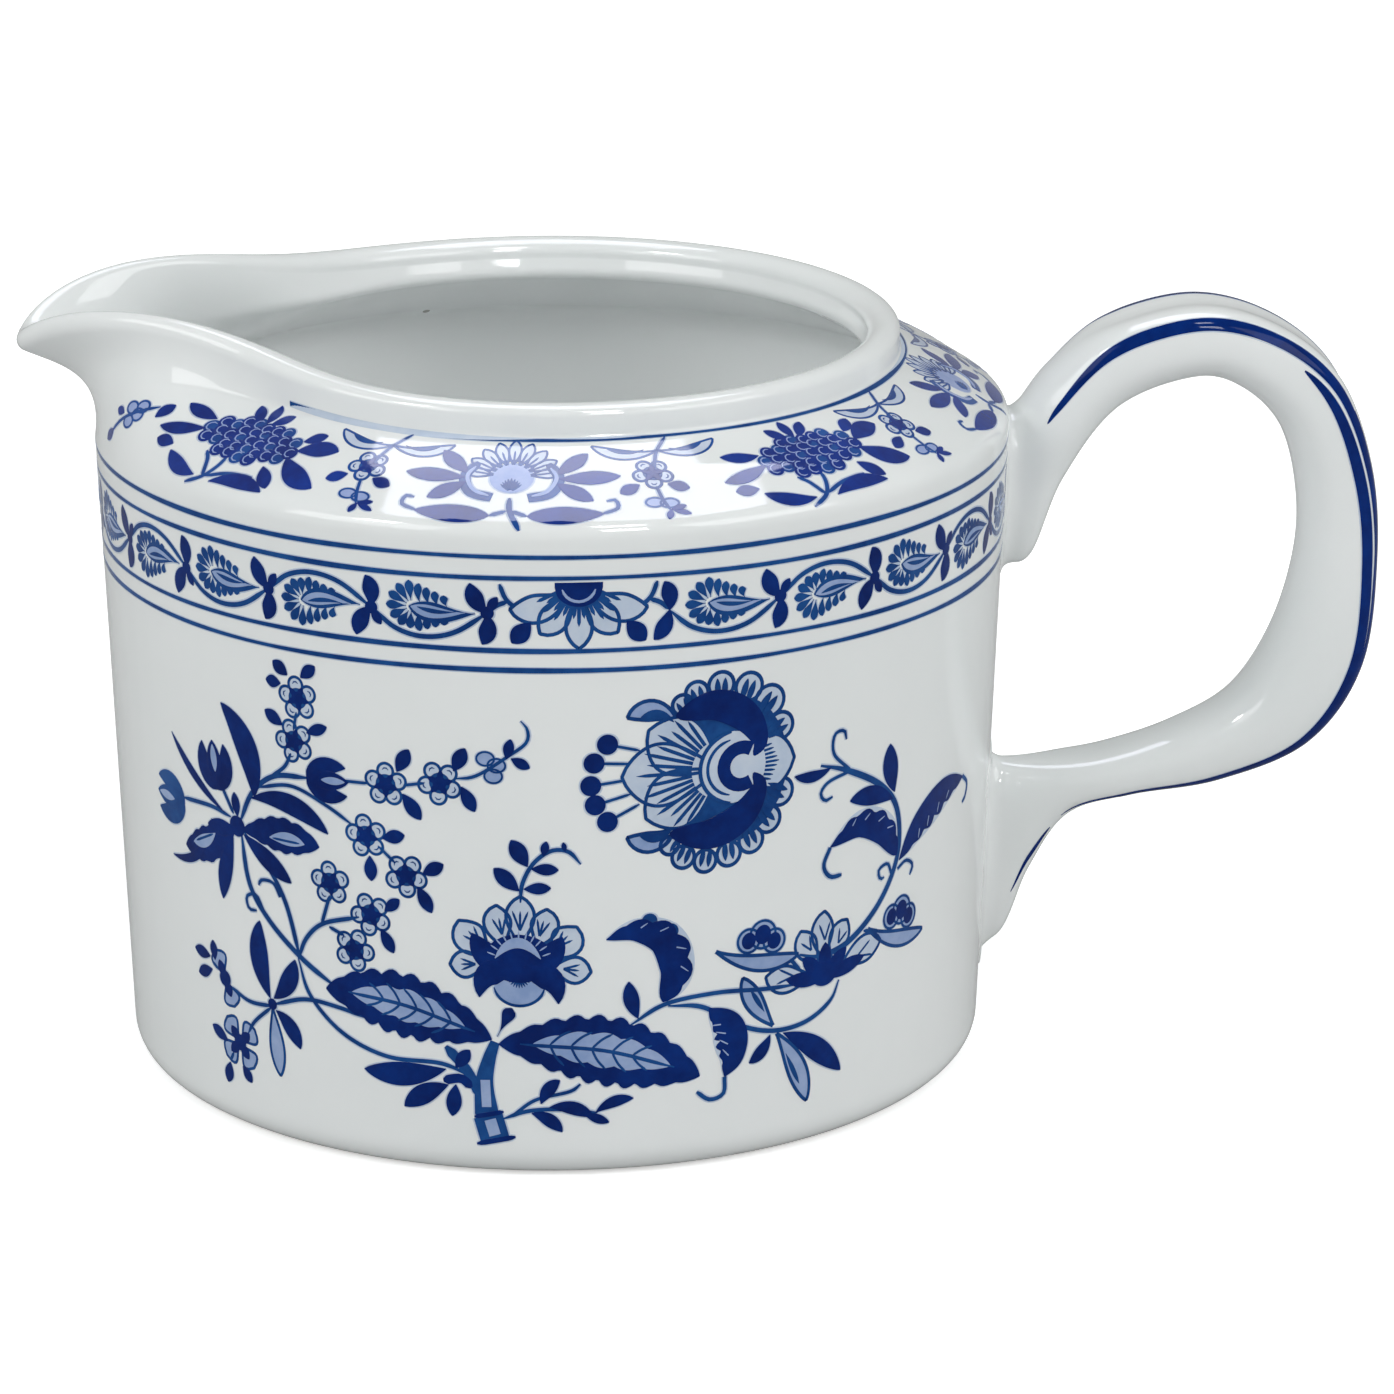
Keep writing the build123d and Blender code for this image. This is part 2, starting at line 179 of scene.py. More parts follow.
def upper_section(azimuth):
    """Outer outline, lip rounding and inner outline above the wall, as (radius, height)."""
    centre, lean, thickness = lip_frame(azimuth)
    outward = np.array([lean[1], -lean[0]])
    outer_end = centre + outward * thickness / 2
    inner_end = centre - outward * thickness / 2
    wall = (wall_radius(WALL_TOP), WALL_TOP)
    inner_wall = (wall[0] - WALL_THICKNESS, WALL_TOP - 2.0)
    shoulder = rounded_path([(*wall, 0), (wall[0] + 0.05, WALL_TOP + 2.05, 1.9), SLOPE_BOW,
                             (COLLAR_RADIUS, SLOPE_TOP, 0.45), (*outer_end, 0)], UPPER_COUNT)
    under = rounded_path([(*inner_wall, 0), (inner_wall[0] + 0.05, WALL_TOP + 0.9, 3.0),
                          (COLLAR_INNER - 0.6, SLOPE_TOP_INSIDE, 0.9), (*inner_end, 0)], UPPER_COUNT)
    rise = outer_end[1] - WALL_TOP
    pull = 0.36 * np.linalg.norm(outer_end - np.array(wall))
    flare = bezier(wall, (wall[0] - 0.8, WALL_TOP + 0.72 * rise), outer_end - lean * pull,
                   outer_end, UPPER_COUNT)
    inner_flare = bezier(inner_wall, (inner_wall[0], inner_wall[1] + 0.5 * rise), inner_end - lean * pull,
                         inner_end, UPPER_COUNT)
    blend = smooth_step(azimuth, 16.0, 50.0)
    outer = flare + (shoulder - flare) * blend
    inner = inner_flare + (under - inner_flare) * blend
    turn = np.linspace(0.0, pi, 15)[1:-1, None]
    middle = (outer[-1] + inner[-1]) / 2
    bulge = 0.48 - 0.08 * smooth_step(azimuth, 20.0, 60.0)
    rounding = middle + np.cos(turn) * (outer[-1] - middle) + np.sin(turn) * lean * thickness * bulge
    return outer, rounding, inner


SECTION_ANGLES = np.concatenate([np.arange(0.0, 50.0, 1.0), np.arange(50.0, 180.1, 1.25)])
SECTIONS = [upper_section(angle) for angle in SECTION_ANGLES]
OUTER_SKIN = np.array([section[0] for section in SECTIONS])


def spin(azimuth, radius, height):
    """Point in space, from an angle measured from the spout's axis (-X) towards the front (-Y)."""
    return np.stack([-radius * np.cos(azimuth), -radius * np.sin(azimuth), height], axis=-1)


def vessel_profile(section):
    """Closed meridian from the middle of the underside, round the lip, to the middle of the floor."""
    outer, rounding, inner = section
    foot = rounded_path([(0.0, UNDERSIDE, 0), (FOOT_RING_INNER - 0.7, UNDERSIDE, 0.7),
                         (FOOT_RING_INNER, 0.0, 0.45), (FOOT_RADIUS - 3.2, 0.0, 0.5),
                         (wall_radius(0.4), 0.4, 2.8), (wall_radius(6.0), 6.0, 0)], FOOT_COUNT)
    wall = resample([foot[-1], outer[0]], WALL_COUNT)[1:-1]
    inner_foot = wall_radius(FLOOR_TOP) - WALL_THICKNESS
    floor = rounded_path([(*inner[0], 0), (inner_foot, FLOOR_TOP, 6.5), (0.0, FLOOR_TOP, 0)], FLOOR_COUNT)
    return np.concatenate([foot, wall, outer, rounding, inner[::-1], floor[1:]])


def mesh_object(name, vertices, faces, material, smooth=None):
    """A mesh object from points in millimetres, smooth-shaded except where told otherwise."""
    mesh = bpy.data.meshes.new(name)
    mesh.from_pydata((np.asarray(vertices) * MM).tolist(), [], faces)
    mesh.polygons.foreach_set("use_smooth", [True] * len(faces) if smooth is None else smooth)
    mesh.validate()
    mesh.materials.append(material)
    piece = bpy.data.objects.new(name, mesh)
    bpy.context.scene.collection.objects.link(piece)
    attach(piece, "root")
    return piece


def build_vessel(material):
    """The one-piece casting with its spout, shoulder, rim, hollow and foot ring."""
    profiles = [vessel_profile(section) for section in SECTIONS]
    angles = np.concatenate([SECTION_ANGLES, 360.0 - SECTION_ANGLES[-2:0:-1]])
    profiles = profiles + profiles[-2:0:-1]
    rings = np.array([spin(radians(angle), profile[1:-1, 0], profile[1:-1, 1])
                      for angle, profile in zip(angles, profiles)])
    turns, count = rings.shape[:2]
    vertices = np.concatenate([rings.reshape(-1, 3), [[0, 0, profiles[0][0, 1]], [0, 0, profiles[0][-1, 1]]]])
    faces = []
    for turn in range(turns):
        here, there = turn * count, (turn + 1) % turns * count
        faces += [(here + k, there + k, there + k + 1, here + k + 1) for k in range(count - 1)]
        faces.append((here, turns * count, there))
        faces.append((here + count - 1, there + count - 1, turns * count + 1))
    return mesh_object("jug_vessel", vertices, faces, material)


# ---- handle ----
# Stations along the loop: (x, z) of the outer edge, (x, z) of the inner edge, width across.
HANDLE_STATIONS = (
    ((38.0, 57.6), (38.0, 45.6), 8.0),
    ((41.4, 58.4), (41.4, 45.2), 8.4),
    ((43.2, 60.2), (44.3, 45.7), 8.8),
    ((45.9, 63.6), (47.2, 53.0), 9.4),
    ((51.0, 67.8), (52.2, 59.9), 10.0),
    ((59.4, 69.9), (59.4, 62.7), 10.5),
    ((67.0, 67.9), (64.0, 61.4), 10.5),
    ((73.0, 62.8), (67.6, 57.6), 10.3),
    ((76.2, 54.4), (69.3, 51.8), 10.0),
    ((77.0, 45.0), (69.4, 45.4), 10.0),
    ((75.9, 34.6), (67.4, 38.0), 10.0),
    ((71.0, 27.3), (63.6, 31.9), 9.8),
    ((62.5, 23.7), (58.0, 28.6), 9.2),
    ((54.0, 22.4), (52.0, 26.6), 8.6),
    ((48.2, 20.4), (46.8, 25.8), 8.2),
    ((44.6, 14.8), (43.6, 25.6), 7.6),
    ((42.0, 8.4), (41.2, 25.7), 6.6),
    ((38.0, 7.0), (38.0, 25.6), 6.2),
)
HANDLE_TURNS = 56
ROOT_ROWS, LOOP_ROWS = 46, 130
FILLET = 1.7                # of the joint between root and wall
GROOVE_DEPTH = 0.13         # of the hollow along the outer face, as a share of the handle's half-depth
GROOVE_WIDTH = 0.24         # as a share of the handle's width


def handle_shape():
    """Grid of points round the loop: one row for each section, with roots that flare into the wall."""
    stations = np.array([[*outer, *inner, width] for outer, inner, width in HANDLE_STATIONS])
    number = len(stations)
    spots = np.concatenate([np.linspace(0, 3, ROOT_ROWS)[:-1], np.linspace(3, number - 4, LOOP_ROWS)[:-1],
                            np.linspace(number - 4, number - 1, ROOT_ROWS)])
    smooth = catmull(stations, spots)
    angles = np.linspace(0.0, 2 * pi, HANDLE_TURNS + 1)[:-1]
    rows = []
    for outer_x, outer_z, inner_x, inner_z, width in smooth:
        centre = np.array([(outer_x + inner_x) / 2, 0.0, (outer_z + inner_z) / 2])
        across = np.array([outer_x - inner_x, 0.0, outer_z - inner_z]) / 2
        loop_share = smooth_step(outer_x, 46.0, 54.0)
        power = np.where(np.cos(angles) > 0, 0.85 - 0.25 * loop_share, 0.85)
        side = np.sign(np.sin(angles)) * np.abs(np.sin(angles)) ** power * width / 2
        depth = np.sign(np.cos(angles)) * np.abs(np.cos(angles)) ** power
        groove = GROOVE_DEPTH * np.exp(-((side / (GROOVE_WIDTH * width)) ** 2)) * (depth > 0) * loop_share
        depth = depth - groove
        row = centre + depth[:, None] * across + np.stack([0 * side, side, 0 * side], axis=1)
        gap = np.hypot(row[:, 0], row[:, 1]) - wall_radius(row[:, 2])
        close = np.clip(FILLET - gap, 0.0, FILLET)
        flare = FILLET - np.sqrt(FILLET ** 2 - close ** 2)
        tangent = np.stack([side, depth * np.linalg.norm(across)], axis=1)
        tangent /= np.maximum(np.linalg.norm(tangent, axis=1), 1e-6)[:, None]
        row[:, 1] += tangent[:, 0] * flare
        row[:, 2] += tangent[:, 1] * flare * np.sign(across[2] if abs(across[2]) > 1e-6 else 1.0)
        rows.append(row)
    return np.array(rows)


def catmull(values, spots):
    """Smooth curve through rows of values, read at fractional row numbers."""
    padded = np.concatenate([[2 * values[0] - values[1]], values, [2 * values[-1] - values[-2]]])
    index = np.clip(spots.astype(int), 0, len(values) - 2)
    share = (spots - index)[:, None]
    before, first, second, after = (padded[index + k] for k in range(4))
    return 0.5 * (2 * first + (second - before) * share
                  + (2 * before - 5 * first + 4 * second - after) * share ** 2
                  + (3 * first - before - 3 * second + after) * share ** 3)


def build_handle(shape, material):
    """The cast handle, closed inside the wall at both roots."""
    rows, turns = shape.shape[:2]
    faces = []
    for row in range(rows - 1):
        for turn in range(turns):
            after = (turn + 1) % turns
            faces.append((row * turns + turn, (row + 1) * turns + turn, (row + 1) * turns + after,
                          row * turns + after))
    faces.append(tuple(range(turns)))
    faces.append(tuple(reversed(range((rows - 1) * turns, rows * turns))))
    return mesh_object("cast_handle", shape.reshape(-1, 3), faces, material)


# ---- surfaces that colour is laid on ----
# Each takes flat millimetres, across and up, and a lift off the glaze.
def on_wall(flat, lift):
    """Across is measured round the widest part of the wall from the front's middle, up from the foot."""
    angle = flat[:, 0] / BODY_RADIUS
    radius = wall_radius(flat[:, 1]) + lift
    return np.stack([radius * np.sin(angle), -radius * np.cos(angle), flat[:, 1]], axis=1)


def on_shoulder(flat, lift):
    """Across is measured round the middle of the slope from the front's middle, up along the slope."""
    turn = np.degrees(flat[:, 0] / SLOPE_RADIUS) + 90.0
    away = np.abs((turn + 180.0) % 360.0 - 180.0)
    column = np.interp(away, SECTION_ANGLES, np.arange(len(SECTION_ANGLES)))
    first = np.clip(column.astype(int), 0, len(SECTION_ANGLES) - 2)
    share = (column - first)[:, None]
    spacing = np.linalg.norm(OUTER_SKIN[-1, 1] - OUTER_SKIN[-1, 0])
    row = np.clip((flat[:, 1] + SLOPE_START) / spacing, 0.0, UPPER_COUNT - 1.001)
    low = row.astype(int)
    step = (row - low)[:, None]

    def skin(columns):
        return OUTER_SKIN[columns, low] * (1 - step) + OUTER_SKIN[columns, low + 1] * step

    place = skin(first) * (1 - share) + skin(first + 1) * share
    along = OUTER_SKIN[first, low + 1] - OUTER_SKIN[first, low]
    along /= np.linalg.norm(along, axis=1)[:, None]
    place = place + np.stack([along[:, 1], -along[:, 0]], axis=1) * np.reshape(lift, (-1, 1))
    return spin(np.radians(turn), place[:, 0], place[:, 1])


# ---- printing ----
TONES = {"halo": 0.007, "wash": 0.013, "line": 0.019, "dark": 0.025}     # lift off the glaze
LEVEL_LIFT = 0.024          # extra lift of each level that is printed over another
LEVELS = 3
FILM = 0.024
EDGE_SHARE = 0.06           # a narrow strip of faces along each outline keeps the shading inside it flat
LAYER = 0.0004              # extra lift of each shape over the one before, so that no two faces coincide
LAYERS = 11
BLEED = 0.13                # how far the halo reaches past a shape


class Ink:
    """Printed shapes of one tone on one surface, gathered into one mesh of thin closed films."""

    def __init__(self, tone, level, surface):
        self.lift = TONES[tone] + LEVEL_LIFT * level
        self.surface = surface
        self.vertices = []
        self.faces = []
        self.smooth = []
        self.count = 0
        self.shapes = 0

    def add(self, grid, looped=False):
        """Lays one shape: a grid of flat points, whose rows close on themselves if looped."""
        if not looped:
            grid = self.edged(grid)
        grid = self.edged(grid.transpose(1, 0, 2)).transpose(1, 0, 2)
        rows, columns = grid.shape[:2]
        lift = self.lift + LAYER * (self.shapes % LAYERS)
        flat = grid.reshape(-1, 2)
        total = len(flat)
        self.vertices.append(self.surface(flat, np.full(total, lift)))
        self.vertices.append(self.surface(flat, np.full(total, lift - FILM)))
        index = self.count + np.arange(total).reshape(rows, columns)
        if looped:
            index = np.concatenate([index, index[:1]])
        corners = [index[:-1, :-1], index[1:, :-1], index[1:, 1:], index[:-1, 1:]]
        top = np.stack(corners, axis=-1).reshape(-1, 4)
        self.faces += [top, top[:, ::-1] + total]
        self.smooth += [True] * 2 * len(top)
        edges = [(index[:-1, 0], index[1:, 0]), (index[1:, -1], index[:-1, -1])]
        if not looped:
            edges += [(index[0, 1:], index[0, :-1]), (index[-1, :-1], index[-1, 1:])]
        for start, end in edges:
            self.faces.append(np.stack([end, start, start + total, end + total], axis=1))
            self.smooth += [False] * len(start)
        self.count += 2 * total
        self.shapes += 1

    def edged(self, grid):
        """The grid with a narrow extra row just inside its first and last rows."""
        first = grid[0] + (grid[1] - grid[0]) * EDGE_SHARE
        last = grid[-1] + (grid[-2] - grid[-1]) * EDGE_SHARE
        return np.concatenate([grid[:1], first[None], grid[1:-1], last[None], grid[-1:]])

    def make(self, name, material, *nodes):
        """Turns the shapes into one piece that stands for CAD nodes."""
        faces = np.concatenate(self.faces).tolist()
        piece = mesh_object(name, np.concatenate(self.vertices), faces, material, self.smooth)
        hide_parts(*nodes)
        return piece


class Pen:
    """Draws in flat millimetres, through a place, a turn, a size and a flip."""

    def __init__(self, inks, matrix=np.eye(2), shift=(0.0, 0.0), level=0):
        self.inks = inks
        self.level = level
        self.matrix = matrix
        self.shift = np.array(shift, float)

    def at(self, across, up, turn=0.0, size=1.0, flip=1.0):
        """A pen that draws round a new place; turn is anticlockwise in degrees."""
        angle = radians(turn)
        local = size * np.array([[cos(angle), -sin(angle) * flip], [sin(angle), cos(angle) * flip]])
        shift = self.matrix @ np.array([across, up]) + self.shift
        return Pen(self.inks, self.matrix @ local, shift, self.level)

    def over(self):
        """The same pen, one level up: all it draws lies on top of what this one draws."""
        return Pen(self.inks, self.matrix, self.shift, min(self.level + 1, LEVELS - 1))

    def lay(self, tone, grid, looped=False):
        """Sends a grid of local points to the ink of one tone, the right way out."""
        grid = grid @ self.matrix.T + self.shift
        if np.linalg.det(self.matrix) < 0:
            grid = grid[:, ::-1]
        self.inks[tone, self.level].add(grid, looped)

    def band(self, tone, path, left, right, looped=False):
        """Fills between a path's left and right offsets."""
        columns = max(2, int(np.max(left + right) / 0.9) + 2)
        share = np.linspace(0.0, 1.0, columns)[None, :, None]
        if looped:
            along = np.roll(path, -1, axis=0) - np.roll(path, 1, axis=0)
            along /= np.linalg.norm(along, axis=1)[:, None]
            normal = np.stack([-along[:, 1], along[:, 0]], axis=1)
        else:
            normal = path_normals(path)
        first = (path + normal * left[:, None])[:, None, :]
        last = (path - normal * right[:, None])[:, None, :]
        self.lay(tone, first * (1 - share) + last * share, looped)

    def even(self, tone, path, half):
        """Fills a path to the same width on both sides."""
        half = np.broadcast_to(half, len(path)).astype(float)
        self.band(tone, path, half, half)

    def stroke(self, points, width=0.5, tone="line", ends=(0.35, 0.35), halo=True):
        """Brush line through points, thinner towards its ends."""
        path = curve(points)
        share = np.linspace(0.0, 1.0, len(path))
        half = width / 2 * np.minimum(1.0, np.minimum(ends[0] + share * 5.0, ends[1] + (1 - share) * 5.0))
        if halo:
            self.even("halo", path, half + BLEED)
        self.even(tone, path, half)

    def strokes(self, *rows):
        """Brush lines, each from a row of its width and then across and up of every point."""
        for width, *spots in rows:
            self.stroke(np.reshape(spots, (-1, 2)), width)

    def leaf(self, base, tip, width, bend=0.0, tone="dark", belly=0.55, teeth=0, bite=0.16, halo=True):
        """Leaf from base to tip; bend bows it to its left, and teeth cut its edges."""
        base, tip = np.array(base, float), np.array(tip, float)
        chord = tip - base
        bow = np.array([-chord[1], chord[0]]) * bend
        share = np.linspace(0.0, 1.0, max(12, int(np.linalg.norm(chord) / 0.32)))
        path = base + chord * share[:, None] + bow * (4 * share * (1 - share))[:, None]
        half = np.maximum(width / 2 * np.sin(pi * share ** (0.69 / -np.log(belly))) ** 0.72, 0.03)
        if teeth:
            notch = 1.0 - np.abs(np.sin(pi * teeth * share))
            half = half * (1.0 - bite * notch * np.sin(pi * share) ** 0.3)
        if halo:
            self.even("halo", path, half + BLEED)
        self.even(tone, path, half)
        return path, half

    def leaves(self, *rows):
        """Dark leaves, each from a row: base across and up, tip across and up, width and perhaps bend."""
        for row in rows:
            self.leaf(row[:2], row[2:4], *row[4:])

    def petal(self, base, tip, width, bend=0.0, line=0.28, belly=0.6, fill="wash"):
        """Pale petal with a drawn outline."""
        path, half = self.leaf(base, tip, width, bend, fill, belly)
        side = path_normals(path) * half[:, None]
        self.even("line", np.concatenate([path + side, (path - side)[::-1]]), line / 2)

    def disc(self, centre, radius, tone="dark", squash=1.0, halo=True):
        """Round or oval spot."""
        share = np.cos(np.linspace(pi, 0.0, 13))
        half = np.maximum(radius * squash * np.sqrt(np.maximum(1 - share ** 2, 0.0)), 0.03)
        across = np.stack([share, 0.0 * share], axis=1)
        if halo:
            self.even("halo", np.array(centre, float) + across * (radius + BLEED), half + 0.12)
        self.even(tone, np.array(centre, float) + across * radius, half)

    def ring(self, centre, radius, line=0.26, squash=1.0):
        """Drawn circle or oval."""
        turns = np.linspace(0.0, 2 * pi, 25)[:-1]
        spokes = np.stack([radius * np.cos(turns), radius * squash * np.sin(turns)], axis=1)
        half = np.full(len(turns), line / 2)
        self.band("line", np.array(centre, float) + spokes, half, half, looped=True)

    def arc(self, centre, radius, start, end, width=0.3, tone="line", ends=(0.4, 0.4), squash=1.0):
        """Drawn part of a circle, between angles in degrees."""
        turns = np.radians(np.linspace(start, end, max(4, int(abs(end - start) / 14))))
        points = [(centre[0] + radius * cos(turn), centre[1] + radius * squash * sin(turn)) for turn in turns]
        self.stroke(points, width, tone, ends, halo=False)


# ---- small ornaments ----
def blossom(pen, across, up, radius=1.85, turn=0.0, petals=5):
    """Round blossom: outlined pale petals with a small inner mark, round a dark toothed eye."""
    here = pen.at(across, up, turn)
    here.disc((0, 0), radius * 0.5, "line")
    for number in range(petals):
        petal = here.at(0, 0, 360.0 * number / petals)
        spot = (0.0, 0.64 * radius)
        petal.disc(spot, 0.42 * radius, "halo", halo=False)
        petal.ring(spot, 0.38 * radius, 0.27)
        petal.arc(spot, 0.16 * radius, 20, 160, 0.14)
    here.disc((0, 0), 0.33 * radius, "dark", halo=False)
    for number in range(petals):
        tooth = here.at(0, 0, 360.0 * (number + 0.5) / petals)
        tooth.leaf((0, 0.1), (0, 0.62 * radius), 0.3 * radius, halo=False)


def tendril(pen, points):
    """Thin curling shoot."""
    pen.stroke(points, 0.34, "line", (1.0, 0.5))


def pale_berries(pen, spots, radius, ring_radius, squash=1.0):
    """Pale berries with a drawn outline."""
    for spot in spots:
        pen.disc(spot, radius, "wash", squash)
        pen.ring(spot, ring_radius, 0.2, squash)


def veined_petal(pen, base, tip, width, bend, spreads, low, high):
    """Pale petal with fine lines that fan out between two shares of its length."""
    pen.petal(base, tip, width, bend, 0.32, fill="halo")
    base, tip = np.array(base), np.array(tip)
    across = np.array([base[1] - tip[1], tip[0] - base[0]])
    for spread in spreads:
        end = base * (1 - high) + tip * high + across * spread
        pen.stroke([base * (1 - low) + tip * low, end], 0.22, "line", (1.0, 0.2), halo=False)


def veined_leaf(pen, base, middle, tip, width, teeth):
    """Large dark leaf with toothed edges and a pale, veined centre."""
    base, middle, tip = (np.array(point, float) for point in (base, middle, tip))
    chord = tip - base
    bend = float(np.cross(chord, middle - (base + tip) / 2)) / float(chord @ chord)
    pen.leaf(base, tip, width, bend, "dark", 0.52, teeth, 0.2)
    bow = np.array([-chord[1], chord[0]]) * bend

    def spine(share):
        return base + chord * share + bow * 4 * share * (1 - share)

    over = pen.over()
    over.leaf(spine(0.16), spine(0.84), width * 0.5, bend * 0.7, "wash", 0.5, 5, 0.2, halo=False)
    normal = np.array([-chord[1], chord[0]]) / np.linalg.norm(chord)
    along = chord / np.linalg.norm(chord)
    over.stroke([spine(0.1), spine(0.5), spine(0.86)], 0.36, halo=False)
    for share in (0.24, 0.34, 0.44, 0.54, 0.64):
        reach = width * 0.25 * (1.0 if share < 0.6 else 0.7)
        for side in (-1, 1):
            start = spine(share)
            over.stroke([start, start + normal * side * reach * 0.6 + along * 0.8,
                         start + normal * side * reach + along * 1.7], 0.24, halo=False)


def tulip(pen, across, up, turn, length=4.4, width=4.2, tone="dark"):
    """Closed bud: a cup of three pointed petals."""
    here = pen.at(across, up, turn)
    here.leaf((0, -0.5 * length), (-0.36 * width, 0.5 * length), 0.5 * width, 0.14, tone, 0.45)
    here.leaf((0, -0.5 * length), (0.36 * width, 0.5 * length), 0.5 * width, -0.14, tone, 0.45)
    here.leaf((0, -0.45 * length), (0, 0.55 * length), 0.5 * width, 0.0, tone, 0.5)
    over = here.over()
    over.leaf((0, -0.12 * length), (0, 0.46 * length), 0.2 * width, 0.0, "wash", 0.5, halo=False)


def hook_leaf(pen, points, width, belly=0.45, hook=None):
    """Broad dark leaf along a curve, with one toothed side and a curled end."""
    path = curve(points, 0.3)
    share = np.linspace(0.0, 1.0, len(path))
    half = np.maximum(width / 2 * np.sin(pi * share ** (0.69 / -np.log(belly))) ** 0.8, 0.05)
    tooth = 1.0 - 0.34 * (1 - np.abs(np.sin(pi * 6 * share))) * np.sin(pi * share) ** 0.5
    pen.even("halo", path, half + BLEED)
    pen.band("dark", path, half, half * tooth)
    normal = path_normals(path)
    for spot in np.linspace(0.3, 0.75, 4):
        row = int(spot * (len(path) - 1))
        start = path[row] - normal[row] * half[row] * 0.25
        end = path[max(row - 2, 0)] - normal[row] * half[row] * 0.72
        pen.over().stroke([start, end], 0.12, "wash", (1.0, 0.4), halo=False)
    if hook is not None:
        pen.stroke([points[-1], *hook], 0.42, "line", (1.0, 0.6))


# ---- the big spray ----
def spray_trunk(pen):
    """Jointed trunk with small leaves and a twig at its foot."""
    lower = curve([(-8.0, 3.7), (-8.7, 6.2)])
    pen.even("halo", lower, 1.55)
    pen.even("line", lower, 1.4)
    upper = curve([(-8.8, 6.3), (-9.0, 9.2), (-8.5, 11.6), (-7.9, 13.3)])
    half = np.linspace(1.15, 0.45, len(upper))
    pen.even("halo", upper, half + BLEED)
    pen.even("line", upper, half)
    pen.stroke([(-9.3, 7.8), (-10.6, 10.4), (-12.6, 12.6)], 1.0)
    over = pen.over()
    over.even("wash", curve([(-8.05, 4.3), (-8.5, 5.8)]), 0.55)
    over.even("wash", curve([(-8.8, 7.0), (-8.9, 9.6)]), 0.45)
    pen.stroke([(-9.8, 3.4), (-6.1, 4.2)], 0.5, "dark")
    pen.stroke([(-10.0, 6.0), (-7.2, 6.6)], 0.45, "dark")
    pen.leaves(
        (-12.6, 10.4, -20.8, 9.5, 2.3, 0.05), (-12.4, 8.9, -16.8, 6.4, 1.9, -0.05),
        (-11.7, 9.0, -12.1, 5.9, 1.5, 0.0), (-11.7, 10.6, -10.3, 12.4, 1.3, 0.0),
        (-3.7, 7.4, -1.9, 9.7, 1.3, 0.1), (-2.9, 7.1, 1.2, 6.1, 1.3, 0.1),
        (1.4, 6.5, 5.0, 7.7, 1.1, 0.1), (-4.6, 6.5, -1.7, 4.7, 1.3, 0.1), (0.3, 6.4, 2.7, 5.5, 0.9, 0.0))
    pen.stroke([(-12.9, 9.3), (-11.2, 9.6), (-10.2, 8.8)], 0.9, "dark")
    pen.stroke([(-7.3, 5.9), (-5.0, 6.7), (-2.0, 6.9), (1.6, 6.5)], 0.4)
    tendril(pen, [(-6.4, 6.2), (-4.2, 7.8), (-1.0, 8.6), (0.0, 9.3)])
    pen.leaf((-7.7, 13.8), (-6.3, 16.6), 1.3, 0.0, "dark", 0.8)


def spray_middle(pen):
    """Crowned flower in the middle, with its twig."""
    here = pen.at(-5.6, 21.0)
    for base, tip, width, bend in (
            ((-2.6, 0.6), (-5.5, 3.7), 3.0, 0.08), ((2.6, 0.6), (5.3, 3.3), 3.0, -0.08),
            ((-3.0, -0.3), (-6.4, -0.5), 2.5, 0.0), ((3.0, -0.5), (6.6, -1.0), 2.5, 0.0),
            ((-1.3, 1.4), (-2.0, 5.3), 2.5, 0.06), ((1.6, 1.4), (2.6, 5.0), 2.5, -0.06),
            ((0.1, 1.6), (0.2, 6.2), 2.6, 0.0)):
        veined_petal(here, base, tip, width, bend, (-0.16, 0.0, 0.16), 0.3, 0.7)
    here.leaf((0, -1.2), (-4.3, 2.6), 2.4, 0.12)
    here.leaf((0, -1.2), (4.0, 2.4), 2.4, -0.12)
    here.disc((0, 0.3), 3.2, "dark", 0.72)
    here.leaf((-0.6, -1.0), (-3.7, -3.5), 2.4, -0.3, belly=0.4)
    here.leaf((0.6, -1.2), (3.6, -4.0), 2.4, 0.3, belly=0.4)
    here.disc((0, -2.6), 2.35, "wash", 0.62)
    here.arc((0, -2.2), 2.35, 188, 352, 0.28, squash=0.85)
    for turn in range(-60, 61, 15):
        here.at(0, -1.4, turn).stroke([(0, -0.3), (0, -1.1)], 0.18, "line", halo=False)
    over = here.over()
    over.leaf((-2.2, 0.3), (2.0, 0.3), 1.0, 0.36, "wash", 0.5, halo=False)
    for turn in range(-70, 71, 14):
        over.at(0, -0.2, turn).stroke([(0, 2.3), (0, 3.1)], 0.14, "wash", halo=False)
    pen.stroke([(-5.4, 26.6), (-5.2, 28.4), (-4.2, 30.3), (-2.6, 31.5), (-1.0, 31.4), (0.1, 30.2)], 0.4)
    pen.leaves(
        (-5.5, 27.7, -7.8, 29.8, 1.5), (-4.7, 30.0, -6.2, 32.5, 1.6), (-5.1, 27.9, -2.6, 28.0, 1.1),
        (-4.4, 29.8, -1.9, 29.7, 1.1), (-3.3, 31.0, -3.0, 32.4, 0.8), (-1.3, 31.4, -1.5, 32.3, 0.5))


